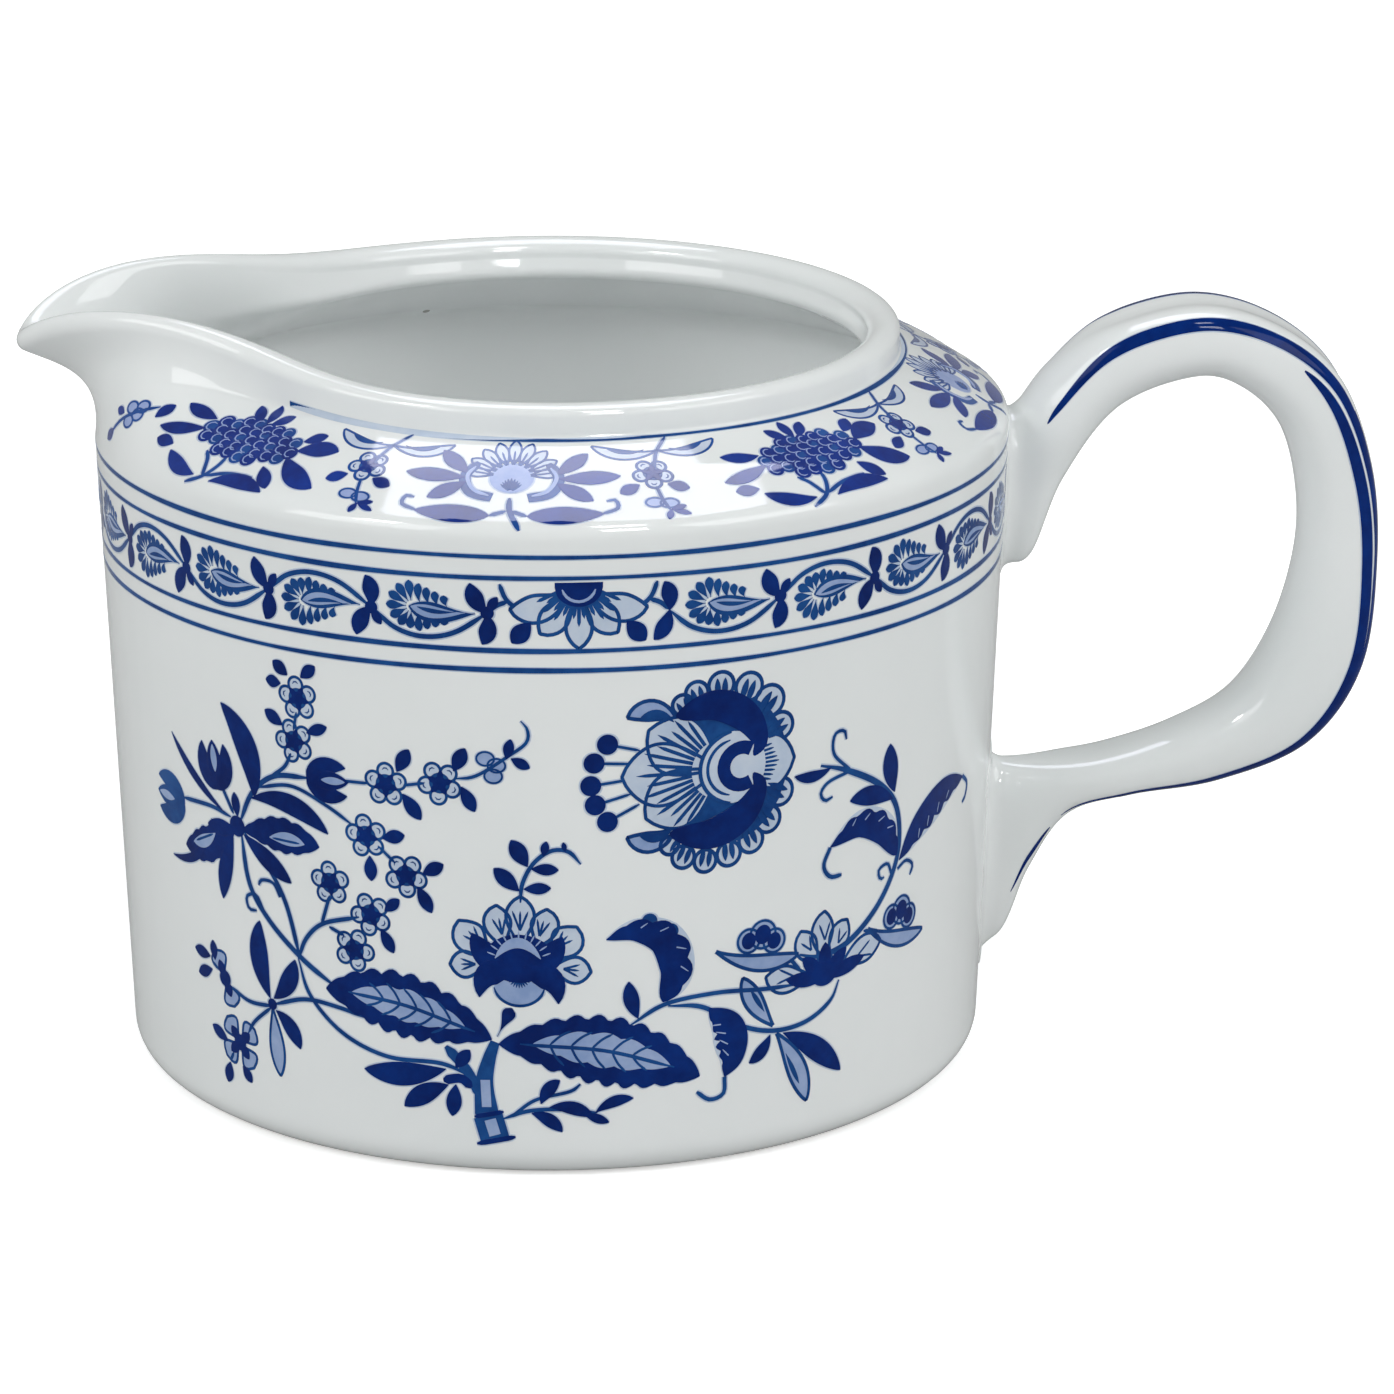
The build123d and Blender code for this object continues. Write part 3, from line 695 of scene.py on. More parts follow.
def spray_peony(pen):
    """Large round flower lying on its side: scalloped rim, dark crescents, striped fan and berries."""
    heart = (13.0, 38.2)
    scallops = ((9.3, 44.5, 1.0), (10.6, 45.5, 1.1), (12.9, 46.0, 1.25), (15.6, 45.5, 1.35),
                (17.7, 43.9, 1.5), (18.9, 41.4, 1.3), (19.0, 35.2, 1.35), (17.8, 32.8, 1.3),
                (16.1, 31.1, 1.25), (13.9, 30.1, 1.2), (11.6, 29.7, 1.1), (9.5, 30.3, 1.1), (8.2, 31.5, 0.9))
    pen.disc((13.6, 38.0), 6.1, "line", 1.14)
    for across, up, size in scallops:
        turn = degrees(atan2(up - heart[1], across - heart[0]))
        lobe = pen.at(across, up, turn)
        lobe.disc((0, 0), size, "halo")
        lobe.ring((0, 0), size - 0.05, 0.36)
        for side in (-0.42, 0.42):
            lobe.over().leaf((-1.2 * size, side * 0.7), (0.5 * size, side * 0.9), 0.46 * size,
                             tone="line", halo=False)
    over, top = pen.over(), pen.over().over()
    over.petal((14.6, 38.2), (20.4, 38.2), 5.0, 0.0, 0.34, fill="halo")
    for number in range(-4, 5):
        over.stroke([(15.4, 38.2 + number * 0.26), (18.8 - 0.2 * abs(number), 38.2 + number * 0.42)],
                    0.24, halo=False)
    for tip, width in (((6.2, 42.4), 5.4), ((6.0, 34.2), 5.4), ((3.8, 38.2), 5.8)):
        over.petal((13.0, 38.2), tip, width, 0.0, 0.32, 0.62, fill="halo")
    for turn in range(-56, 57, 8):
        ray = over.at(*heart, 180.0 + turn)
        reach = 7.2 - 0.026 * abs(turn) + (0.7 if turn % 16 == 0 else 0.0)
        ray.stroke([(2.8, 0.0), (reach, 0.0)], 0.34, "line", (1.0, 0.1), halo=False)
    top.disc((14.2, 38.2), 3.2, "halo", 1.05, halo=False)
    top.arc((14.3, 38.2), 3.3, 96, 264, 0.36)
    top.arc((14.3, 38.2), 2.6, 100, 260, 0.3)
    for points in ([(8.7, 43.5), (12.4, 44.2), (15.3, 42.8), (16.8, 40.4), (16.2, 39.0)],
                   [(8.2, 32.6), (12.0, 32.2), (15.2, 33.6), (16.8, 36.0), (16.2, 37.4)]):
        path = curve(points, 0.3)
        share = np.linspace(0.0, 1.0, len(path))
        top.even("dark", path, 0.1 + 1.4 * np.sin(pi * share ** 0.9) ** 0.7)
    top.arc((15.0, 38.2), 1.75, 58, 302, 1.25, "dark", (1.0, 1.0))
    for side in (-1, 1):
        hook = pen.at(6.5, 38.1)
        hook.petal((2.4, side * 4.8), (-2.2, side * 5.6), 1.8, -0.2 * side, 0.36)
        hook.over().leaf((2.0, side * 4.9), (-1.2, side * 5.3), 0.9, -0.2 * side, "line", halo=False)
    for across, up, reach in ((2.5, 41.3, (5.4, 40.6)), (1.3, 39.6, (4.6, 39.4)), (1.0, 37.5, (4.1, 37.9)),
                              (1.4, 35.7, (4.6, 36.6)), (2.5, 34.1, (5.4, 35.6))):
        pen.stroke([(across, up), reach], 0.28)
        pen.disc((across, up), 0.95)


def spray_left(pen):
    """Left branch: rosette of leaves, tulips, and rows of small blossoms."""
    pen.strokes(
        (0.55, -23.5, 16.9, -27.2, 19.0, -31.0, 22.0, -33.2, 25.0, -33.9, 29.6),
        (0.5, -27.4, 19.0, -28.8, 24.0, -31.0, 27.4, -33.6, 29.8),
        (0.42, -27.6, 18.8, -26.6, 21.0, -24.6, 22.8, -20.8, 24.0), (0.36, -24.8, 22.7, -23.8, 25.6),
        (0.36, -24.0, 22.6, -22.4, 22.0),
        (0.42, -27.6, 18.9, -26.4, 15.6, -23.0, 12.6, -18.4, 11.0, -13.0, 10.9, -9.8, 9.6),
        (0.42, -30.9, 13.8, -27.0, 15.1, -23.4, 15.0, -20.2, 14.4),
        (0.4, -31.0, 13.6, -34.0, 13.4, -36.4, 14.2), (0.36, -31.1, 13.5, -33.4, 11.6, -34.4, 10.2),
        (0.5, -34.0, 30.6, -32.2, 33.8, -29.4, 35.9, -25.6, 36.4),
        (0.36, -29.8, 35.8, -28.2, 37.0, -27.4, 38.4), (0.3, -27.0, 40.6, -26.6, 42.4),
        (0.36, -31.6, 34.4, -27.6, 35.3, -24.0, 34.2, -21.0, 32.6), (0.3, -22.0, 36.7, -19.4, 36.8),
        (0.3, -16.0, 37.0, -14.0, 37.4),
        (0.32, -11.2, 38.0, -9.2, 38.4, -6.2, 40.4, -4.7, 41.6, -4.6, 42.8, -5.2, 43.6),
        (0.3, -18.6, 31.0, -17.0, 29.6), (0.42, -35.2, 30.8, -38.0, 31.2, -42.4, 30.9),
        (0.42, -34.8, 31.2, -36.2, 33.4))
    tendril(pen, [(-31.6, 22.8), (-32.4, 24.0), (-33.6, 23.6), (-33.4, 22.5), (-32.4, 22.5)])
    tendril(pen, [(-29.4, 24.4), (-30.2, 25.6), (-31.6, 25.6), (-32.0, 25.0)])
    pen.leaves(
        (-33.6, 29.5, -28.0, 26.0, 1.9, 0.0), (-35.0, 28.9, -36.9, 22.6, 1.9, -0.05),
        (-34.3, 31.0, -34.6, 33.3, 1.1, 0.0), (-36.0, 31.0, -43.8, 36.8, 0.9, 0.05),
        (-38.0, 30.0, -44.9, 24.8, 0.95, 0.2), (-34.4, 29.6, -38.6, 29.4, 1.6, 0.0),
        (-32.4, 33.2, -23.7, 31.4, 2.0, 0.14))
    pen.leaf((-32.0, 33.4), (-35.8, 41.5), 2.7, -0.14, belly=0.5)
    for base, tip, bend in (((-33.8, 29.9), (-24.7, 30.0), 0.05), ((-34.6, 30.1), (-42.4, 26.4), 0.08)):
        base, tip = np.array(base), np.array(tip)
        pen.leaf(base, tip, 3.5, bend, "dark", 0.56, 6, 0.16)
        over = pen.over()
        over.leaf(base * 0.62 + tip * 0.38, base * 0.18 + tip * 0.82, 1.25, bend, "wash", halo=False)
        over.stroke([base * 0.58 + tip * 0.42, base * 0.24 + tip * 0.76], 0.24, halo=False)
    pen.disc((-34.4, 30.1), 1.0)
    pen.disc((-31.0, 13.8), 0.55)
    tulip(pen, -37.1, 35.2, 6.0)
    tulip(pen, -44.6, 30.3, 88.0, 4.8, 4.2, "line")
    tulip(pen, -23.7, 36.5, -88.0, 4.2, 3.6)
    for across, up, turn in (
            (-27.0, 39.6, 20), (-26.4, 43.7, 8), (-17.7, 36.9, 0), (-12.6, 37.5, 30), (-19.8, 31.8, 10),
            (-16.0, 28.5, 40), (-23.7, 26.8, 5), (-19.6, 24.4, 25), (-21.4, 20.8, 50)):
        blossom(pen, across, up, 1.95, turn)
    pen.leaves(
        (-27.4, 45.7, -29.0, 46.8, 1.3), (-26.0, 45.7, -24.4, 47.0, 1.2),
        (-28.2, 44.8, -29.9, 44.9, 1.2), (-28.2, 40.9, -30.2, 42.0, 1.3),
        (-25.6, 40.6, -23.4, 41.5, 1.1), (-16.6, 38.2, -15.4, 40.4, 1.4),
        (-16.1, 36.2, -14.4, 33.9, 1.4), (-11.3, 38.7, -10.2, 40.9, 1.4),
        (-10.6, 37.3, -9.4, 35.0, 1.3), (-6.5, 40.0, -6.1, 41.9, 1.0), (-6.1, 40.1, -4.4, 39.2, 1.0),
        (-18.2, 31.8, -16.0, 32.3, 1.3), (-19.5, 30.0, -19.4, 27.6, 1.3),
        (-14.4, 28.8, -12.4, 29.9, 1.3), (-14.9, 27.6, -13.6, 25.2, 1.3),
        (-18.2, 24.9, -16.7, 26.2, 1.1), (-18.6, 23.2, -17.4, 21.0, 1.2))
    pale_berries(pen, ((-8.4, 40.0), (-7.4, 39.4), (-7.7, 38.4)), 0.85, 0.8, 0.8)


def spray_low_left(pen):
    """Three-leaved sprig and two four-lobed flowers at the lower left."""
    pen.leaves(
        (-31.2, 14.3, -32.1, 21.6, 2.3, 0.1), (-30.8, 14.4, -28.0, 18.7, 1.9, -0.1),
        (-30.6, 13.3, -27.8, 10.1, 1.7, 0.1))
    pen.petal((-31.0, 13.4), (-30.4, 7.0), 1.7)
    for across, up, turn, lobes in ((-37.3, 14.8, 25.0, 2), (-35.6, 9.0, 40.0, 4)):
        here = pen.at(across, up, turn)
        for number in range(lobes):
            petal = here.at(0, 0, 360.0 * number / lobes)
            petal.petal((0, 0.2), (0, 2.7), 2.3, belly=0.7)
            petal.leaf((0, 0.0), (0, 1.8), 1.1, halo=False)
        here.disc((0, 0), 0.8)
    pen.leaves(
        (-39.4, 16.4, -41.9, 16.6, 1.2), (-38.7, 16.2, -38.9, 18.1, 1.1),
        (-39.2, 15.2, -41.5, 14.3, 1.2), (-37.4, 8.7, -39.7, 9.7, 1.2), (-37.2, 6.7, -37.7, 4.6, 1.3),
        (-35.4, 6.8, -34.2, 5.4, 1.1))
    pen.strokes((0.36, -38.2, 15.4, -39.2, 16.0), (0.36, -36.6, 7.8, -37.2, 6.8))


def hat_flower(pen, across, up, turn):
    """Side view of a small flower: three dark domes on a long outlined sepal."""
    here = pen.at(across, up, turn)
    for spot, size in (((-1.4, 1.4), 1.2), ((1.3, 1.4), 1.2), ((0.0, 2.0), 1.4)):
        here.disc(spot, size, "wash")
        here.ring(spot, size - 0.08, 0.26)
        here.disc(spot, 0.6 * size, "dark", 1.1, halo=False)
    here.petal((-4.6, 0.4), (4.2, 0.0), 1.5, -0.1, 0.34)


def spray_right(pen):
    """Right branch: curling leaves, star of leaves, side flowers and the tall shoot."""
    pen.strokes(
        (0.42, 4.6, 14.7, 8.0, 16.5, 13.0, 17.0, 18.0, 16.6, 21.6, 16.4),
        (0.46, 8.2, 16.3, 11.6, 15.8, 15.4, 13.5, 19.0, 12.4, 22.6, 12.6, 25.4, 14.0, 26.4, 15.8),
        (0.62, 21.6, 19.2, 24.0, 18.6, 27.4, 19.2, 31.0, 21.6, 33.3, 24.6, 34.0, 27.6, 33.2, 31.0,
         30.6, 33.6, 26.4, 35.8, 23.4, 36.8),
        (0.4, 20.6, 19.0, 21.8, 17.6), (0.4, 29.4, 19.8, 31.4, 19.2))
    pen.leaf((24.6, 36.4), (20.5, 36.3), 1.1, 0.1)
    pen.leaves(
        (5.4, 15.3, 4.5, 18.9, 1.5, 0.05), (18.6, 12.1, 16.4, 9.7, 1.3, 0.1),
        (20.0, 12.0, 27.0, 6.9, 2.2, 0.05), (33.0, 32.2, 32.1, 37.0, 2.1, 0.05),
        (32.8, 31.6, 27.0, 32.7, 1.9, -0.08))
    for base, tip, width in (((18.9, 12.9), (15.6, 18.0), 1.8), ((19.3, 12.1), (22.9, 4.9), 2.0)):
        pen.petal(base, tip, width, 0.05, 0.34)
        base, tip = np.array(base), np.array(tip)
        pen.leaf(base * 0.7 + tip * 0.3, base * 0.25 + tip * 0.75, 0.5, tone="line", halo=False)
    hook_leaf(pen, [(7.7, 16.7), (9.0, 19.6), (8.0, 22.6), (5.2, 23.7), (2.4, 23.0)], 3.4, 0.4)
    for spot in ((9.6, 21.6), (8.4, 23.4), (6.4, 24.5)):
        pen.disc(spot, 0.75, "line")
    hook_leaf(pen, [(12.2, 15.6), (14.2, 13.4), (14.6, 10.8), (13.9, 8.8)], 3.4, 0.5,
              [(13.8, 7.2), (12.4, 6.8), (11.1, 7.7)])
    hook_leaf(pen, [(33.7, 26.0), (31.6, 29.0), (28.4, 30.2), (24.8, 28.8)], 3.0, 0.42,
              [(24.1, 27.2), (24.9, 26.0), (26.3, 25.9)])
    hook_leaf(pen, [(34.1, 25.4), (37.2, 28.0), (41.6, 29.9), (45.8, 30.2)], 3.2, 0.5,
              [(47.1, 29.2), (46.8, 28.0), (46.0, 27.6)])
    tendril(pen, [(26.8, 35.8), (24.9, 37.6), (24.9, 39.4), (26.0, 39.6), (26.3, 38.7)])
    tendril(pen, [(26.8, 35.6), (24.4, 35.1), (23.5, 34.2), (24.0, 33.4), (24.9, 33.6)])
    tendril(pen, [(33.0, 24.4), (32.4, 25.5), (31.2, 25.2), (31.4, 24.3), (32.0, 24.3)])
    tendril(pen, [(33.9, 24.6), (35.2, 25.1), (36.3, 24.4), (35.9, 23.5)])
    hat_flower(pen, 17.3, 19.9, -8.0)
    hat_flower(pen, 34.4, 18.5, -12.0)
    here = pen.at(24.6, 17.2)
    for base, tip, width in (
            ((-0.8, 0.8), (-2.9, 4.2), 2.4), ((0.9, 0.8), (2.6, 4.2), 2.4), ((0.0, 1.0), (-0.2, 5.6), 2.5),
            ((-1.6, -0.2), (-6.6, 0.5), 2.6), ((2.0, -0.2), (7.2, 1.1), 2.6)):
        veined_petal(here, base, tip, width, 0.06, (-0.14, 0.14), 0.4, 0.75)
    here.leaves((0, -0.8, -2.6, 1.6, 1.5), (0, -0.8, 2.6, 1.6, 1.5), (0, -0.9, -4.4, -0.2, 1.5),
                (0, -0.9, 5.0, 0.2, 1.5), (0, -0.6, 0.0, 2.6, 1.5))
    here.disc((0, -0.4), 1.5, "dark", 0.8)


def big_spray(pen):
    """The whole branch with its flowers."""
    spray_trunk(pen)
    veined_leaf(pen, (-8.2, 13.5), (-16.2, 16.1), (-24.6, 16.6), 6.4, 9)
    veined_leaf(pen, (-7.6, 13.1), (1.4, 12.6), (11.4, 9.2), 6.8, 10)
    spray_left(pen)
    spray_low_left(pen)
    spray_right(pen)
    spray_middle(pen)
    spray_peony(pen)


# ---- band between the rings ----
BAND_STEP_COUNT = 11        # bays between the front flower and the back one
FLOWER_HALF_GAP = 8.0
HANDLE_HALF_GAP = 7.0       # half-width that the handle's root leaves free of the scroll


def paisley_unit(pen, length):
    """One bay of the scroll: a fan-shaped leaf cradled by its stem, and a pair of leaves at the joint."""
    pen.stroke([(0.0, 0.0), (0.2 * length, -1.7), (0.45 * length, -2.35), (0.72 * length, -1.8),
                (length, 0.1)], 0.46)
    plume, root = np.array((0.36 * length, 0.35)), np.array((0.9 * length, 0.0))
    pen.leaf(root, plume + (-0.3, 0.0), 1.9, 0.06, "line", 0.66)
    for turn in range(-84, 85, 28):
        reach = 2.4 - 0.004 * max(turn, 0)
        pen.at(*plume, 180.0 + turn).leaf((0.5, 0.0), (reach, 0.0), 0.84, 0.0, "line", 0.7)
    for number in range(1, 5):
        spot = plume + (root - plume) * 0.14 * number
        for side in (-1, 1):
            feather = pen.at(spot[0], spot[1] + side * 0.35, 180.0 - side * (92.0 - 4.0 * number))
            feather.leaf((0.0, 0.0), (2.1 - 0.26 * number, 0.0), 0.76, side * 0.1, "line", 0.7)
    over = pen.over()
    over.leaf(root + (-0.9, 0.05), plume + (-0.1, 0.0), 1.15, 0.06, "wash", 0.66, halo=False)
    over.leaf(root + (-1.7, 0.1), plume + (0.5, 0.0), 0.42, 0.06, "line", 0.62, halo=False)
    joint = pen.at(length, 0.1)
    joint.leaf((-0.1, -0.1), (-0.5, -2.9), 1.6, 0.12)
    joint.leaf((0.0, 0.0), (-1.5, 2.7), 1.6, 0.1)
    joint.leaf((0.0, 0.1), (0.9, 1.5), 0.9)
    joint.disc((0, 0), 0.6)


def half_flower(pen):
    """Flower that hangs from the ring above the band, with petals and side leaves."""
    top = 3.0
    for side in (-1, 1):
        pen.petal((side * 0.8, top - 0.9), (side * 6.0, 0.5), 2.5, -0.12 * side, 0.34, fill="halo")
        pen.petal((side * 0.8, top - 1.0), (side * 3.4, -1.7), 2.5, -0.05 * side, 0.34, fill="halo")
        pen.leaf((side * 4.2, -0.7), (side * 5.9, -2.6), 1.7)
        pen.stroke([(side * 6.9, 2.8), (side * 6.4, 1.5), (side * 5.6, 0.7)], 0.42)
        pen.stroke([(side * 6.2, 1.2), (side * 7.2, 0.8), (side * FLOWER_HALF_GAP, 0.1)], 0.44)
    pen.petal((0, top - 1.2), (0, -3.1), 2.3, line=0.34, fill="halo")
    for turn in range(-64, 65, 8):
        ray = pen.at(0, top, turn)
        ray.stroke([(0, -1.9), (0, -4.1 if turn % 16 == 0 else -3.4)], 0.34, "line", (1.0, 0.1), halo=False)
    path = curve([(-2.1, top - 0.35), (2.1, top - 0.35)], 0.2)
    share = np.linspace(-1.0, 1.0, len(path))
    drop = 1.75 * np.sqrt(np.maximum(1 - share ** 2, 0.0)) + 0.05
    over = pen.over()
    pen.band("dark", path, np.full(len(path), 0.3), drop + 0.12)
    over.arc((0, top - 0.3), 1.5, 195, 345, 0.26, "wash")


def draw_band(pen):
    """Scroll all round, from the front flower to the back one, on both sides."""
    step = (HALF_GIRTH - 2 * FLOWER_HALF_GAP) / BAND_STEP_COUNT
    half_flower(pen.at(0.0, BAND_MIDDLE))
    half_flower(pen.at(HALF_GIRTH, BAND_MIDDLE))
    for start in (FLOWER_HALF_GAP, FLOWER_HALF_GAP - HALF_GIRTH):
        first = pen.at(start, BAND_MIDDLE)
        first.leaf((0.0, 0.1), (-1.4, -2.6), 1.5, 0.1)
        first.leaf((0.0, 0.0), (-0.5, 2.7), 1.5, -0.1)
        for number in range(BAND_STEP_COUNT):
            spot = start + step * (number + 0.5)
            if abs(spot - HALF_GIRTH / 2) < HANDLE_HALF_GAP:
                continue
            flip = 1.0 if number % 2 == 0 else -1.0
            paisley_unit(pen.at(start + step * number, BAND_MIDDLE, flip=flip), step)


# ---- shoulder ornaments ----
def berry_cluster(pen):
    """Heap of outlined berries with leaves at both ends and a forked stem below."""
    for row, count in ((0.0, 9), (1.05, 8), (-1.05, 8), (1.95, 5), (-1.9, 4)):
        for number in range(count):
            spot = ((number - (count - 1) / 2) * 1.28 + 0.2 * row, row + 0.12 * sin(number * 2.1))
            pen.disc(spot, 0.8, "dark" if (number + count) % 3 else "line")
            pen.at(*spot).over().arc((0, 0), 0.5, 60, 300, 0.12, "wash")
    pen.leaves(
        (5.6, 0.3, 9.8, 1.3, 2.1, 0.08), (5.2, -0.6, 9.6, -3.4, 2.1, -0.08),
        (3.6, -2.2, 5.4, -4.4, 1.4, 0.0), (5.4, 1.6, 7.4, 3.0, 1.4, 0.0),
        (-5.4, 0.9, -9.2, 1.4, 1.4, 0.05), (-5.4, -0.4, -10.0, -1.8, 1.4, 0.05),
        (-0.3, 2.4, -0.6, 4.8, 1.2, 0.0), (0.2, 2.4, 1.9, 4.2, 1.2, 0.0),
        (-1.0, 2.2, -2.9, 4.0, 1.2, 0.0), (-2.6, -5.0, -7.0, -3.6, 1.5, 0.1),
        (-0.6, -5.2, 5.2, -4.9, 1.6, 0.12), (-7.2, -3.0, -9.4, -3.0, 1.3, 0.0))
    pen.strokes(
        (0.4, -3.2, -5.9, -1.6, -4.9, -0.8, -3.4, -0.7, -2.0),
        (0.4, -1.6, -4.9, -2.4, -3.2, -3.2, -2.4), (0.4, -1.4, -4.8, 0.8, -3.9, 3.4, -3.6))


def hanging_sprig(pen):
    """Sprig that hangs from the neck: two long leaves, a blossom and a bud."""
    pen.stroke([(0.4, 5.2), (-1.0, 3.4), (-1.6, 2.0), (-2.0, 0.4)], 0.34)
    for base, tip, bend in (((-1.0, 3.4), (-7.2, 4.4), 0.14), ((-1.0, 3.4), (5.0, 4.2), -0.14)):
        pen.petal(base, tip, 1.3, bend, 0.24, fill="halo")
        base, tip = np.array(base), np.array(tip)
        pen.leaf(base * 0.8 + tip * 0.2, base * 0.2 + tip * 0.8, 0.5, bend, "line", halo=False)
    blossom(pen, -2.2, 0.4, 1.75, 30.0)
    pen.stroke([(-2.2, -1.2), (-2.0, -2.6), (-1.6, -4.0)], 0.3)
    pen.leaf((-3.6, -0.9), (-5.4, -1.8), 1.2)
    pen.leaf((-1.2, -1.0), (0.6, -1.7), 1.2)
    pale_berries(pen, ((-2.7, -3.0), (-1.5, -3.2)), 0.8, 0.75, 0.7)
    pen.leaves((-1.5, -3.9, -1.9, -5.0, 0.6), (-1.5, -3.9, 0.0, -4.6, 0.6), (-1.5, -3.9, -0.2, -3.6, 0.6))


def lotus(pen):
    """Open flower in a cradle of two hooks, with side leaves and curled leaves under it."""
    for number in range(-4, 5):
        petal = pen.at(0, 0.2, -number * 20.0)
        petal.petal((0, 1.8), (0, 5.3 - 0.14 * abs(number)), 1.3, 0.0, 0.24, fill="halo")
        petal.stroke([(0, 2.0), (0, 3.8)], 0.22, "line", halo=False)
    pen.disc((0, 0.2), 2.1, "wash", 0.95)
    pen.arc((0, 0.4), 2.2, 10, 170, 0.24)
    for number in range(-4, 5):
        ray = pen.at(0, -1.6, -number * 12.0)
        ray.stroke([(0, 0.2), (0, 1.7 - 0.1 * abs(number))], 0.26, "line", (1.0, 0.2), halo=False)
    for side in (-1, 1):
        pen.stroke([(side * 3.4, 2.2), (side * 4.4, 0.2), (side * 3.6, -1.8), (side * 1.6, -2.4)],
                   1.1, "line", (0.5, 0.9))
        over = pen.over()
        over.stroke([(side * 3.6, 1.6), (side * 4.2, 0.2), (side * 3.4, -1.5), (side * 1.9, -2.2)],
                    0.4, "wash", halo=False)
        pen.leaves((side * 4.2, 0.6, side * 7.4, 3.6, 1.7), (side * 4.4, 0.0, side * 10.2, 0.2, 1.8),
                   (side * 4.2, -0.6, side * 7.4, -2.8, 1.6))
        pen.leaf((side * 1.6, -4.6), (side * 8.2, -4.4), 2.1, belly=0.45)
        pen.strokes((0.44, side * 0.2, -4.0, side * 1.6, -4.6),
                    (0.38, side * 8.0, -4.4, side * 9.4, -3.8, side * 9.3, -2.8, side * 8.5, -2.9))
    pen.stroke([(0.0, -2.4), (0.1, -4.0), (1.0, -6.2)], 0.5)


def spout_sprig(pen):
    """Small sprig at the root of the spout."""
    pen.stroke([(-2.6, -2.0), (-0.8, -0.2), (2.4, 1.6)], 0.32)
    pen.leaves(
        (-1.0, 0.2, -2.2, 0.4, 0.9), (-2.2, -1.6, -3.4, -3.0, 1.0), (2.6, 0.6, 3.4, 2.2, 1.1))
    pale_berries(pen, ((-0.2, 0.9), (0.7, 0.4), (-0.1, -0.4), (0.9, 1.2)), 0.62, 0.58)


def draw_shoulder(pen):
    """Ornaments all round the slope; each angle is measured from the front towards the handle."""
    slope_middle = 5.9
    ornaments = ((berry_cluster, 0.98, 0.3, (-49.5, 35.0, 123.0, 210.0)),
                 (hanging_sprig, 1.0, 0.1, (-25.5, 14.0, 57.0, 101.0, 146.0, 188.0, 232.0)),
                 (lotus, 0.93, 0.2, (-8.5, 79.0, 166.0)),
                 (spout_sprig, 1.15, -1.6, (-71.0, 251.0)))
    for ornament, size, raised, angles in ornaments:
        for angle in angles:
            ornament(pen.at(radians(angle) * SLOPE_RADIUS, slope_middle + raised, size=size))


# ---- rings and handle strokes ----
HANDLE_EDGE = 5.0            # half-width that the handle's root covers
NECK_RING_UP = 11.3          # along the slope


def draw_ring(pen, height, start, end, wobble):
    """One painted ring with the small drift of a hand on a wheel."""
    across = np.linspace(start, end, 420)
    drift = 0.05 * np.sin(across / 17.0 + wobble) + 0.03 * np.sin(across / 6.1 + 2 * wobble)
    path = np.stack([across, height + drift], axis=1)
    half = LINE_WIDTH / 2 * (1.0 + 0.14 * np.sin(across / 9.3 + wobble) + 0.08 * np.sin(across / 2.7))
    pen.even("halo", path, half + 0.1)
    pen.even("line", path, half)


def draw_wall_rings(pen, heights):
    """Pair of rings round the wall, open where the handle's root stands."""
    quarter = HALF_GIRTH / 2
    for number, height in enumerate(heights):
        draw_ring(pen, height, quarter + HANDLE_EDGE, quarter + 2 * HALF_GIRTH - HANDLE_EDGE, number + height)


def draw_neck_ring(pen):
    """Ring at the foot of the collar, open across the spout."""
    reach = radians(139.0) * SLOPE_RADIUS
    middle = radians(90.0) * SLOPE_RADIUS
    draw_ring(pen, NECK_RING_UP, middle - reach, middle + reach, 3.0)


def handle_surface(shape):
    """Surface of the handle: flat points are (section number, turn number)."""
    rows, turns = shape.shape[:2]
    ahead = np.roll(shape, -1, axis=1) - np.roll(shape, 1, axis=1)
    along = np.gradient(shape, axis=0)
    normals = np.cross(along, ahead)
    normals /= np.maximum(np.linalg.norm(normals, axis=2), 1e-9)[:, :, None]

    def surface(flat, lift):
        row = np.clip(flat[:, 0], 0, rows - 1.001)
        low, turn = row.astype(int), np.floor(flat[:, 1]).astype(int)
        step, share = (row - low)[:, None], (flat[:, 1] - turn)[:, None]
        here, after = turn % turns, (turn + 1) % turns

        def mix(values):
            first = values[low, here] * (1 - step) + values[low + 1, here] * step
            last = values[low, after] * (1 - step) + values[low + 1, after] * step
            return first * (1 - share) + last * share

        return mix(shape) + mix(normals) * np.reshape(lift, (-1, 1))

    return surface


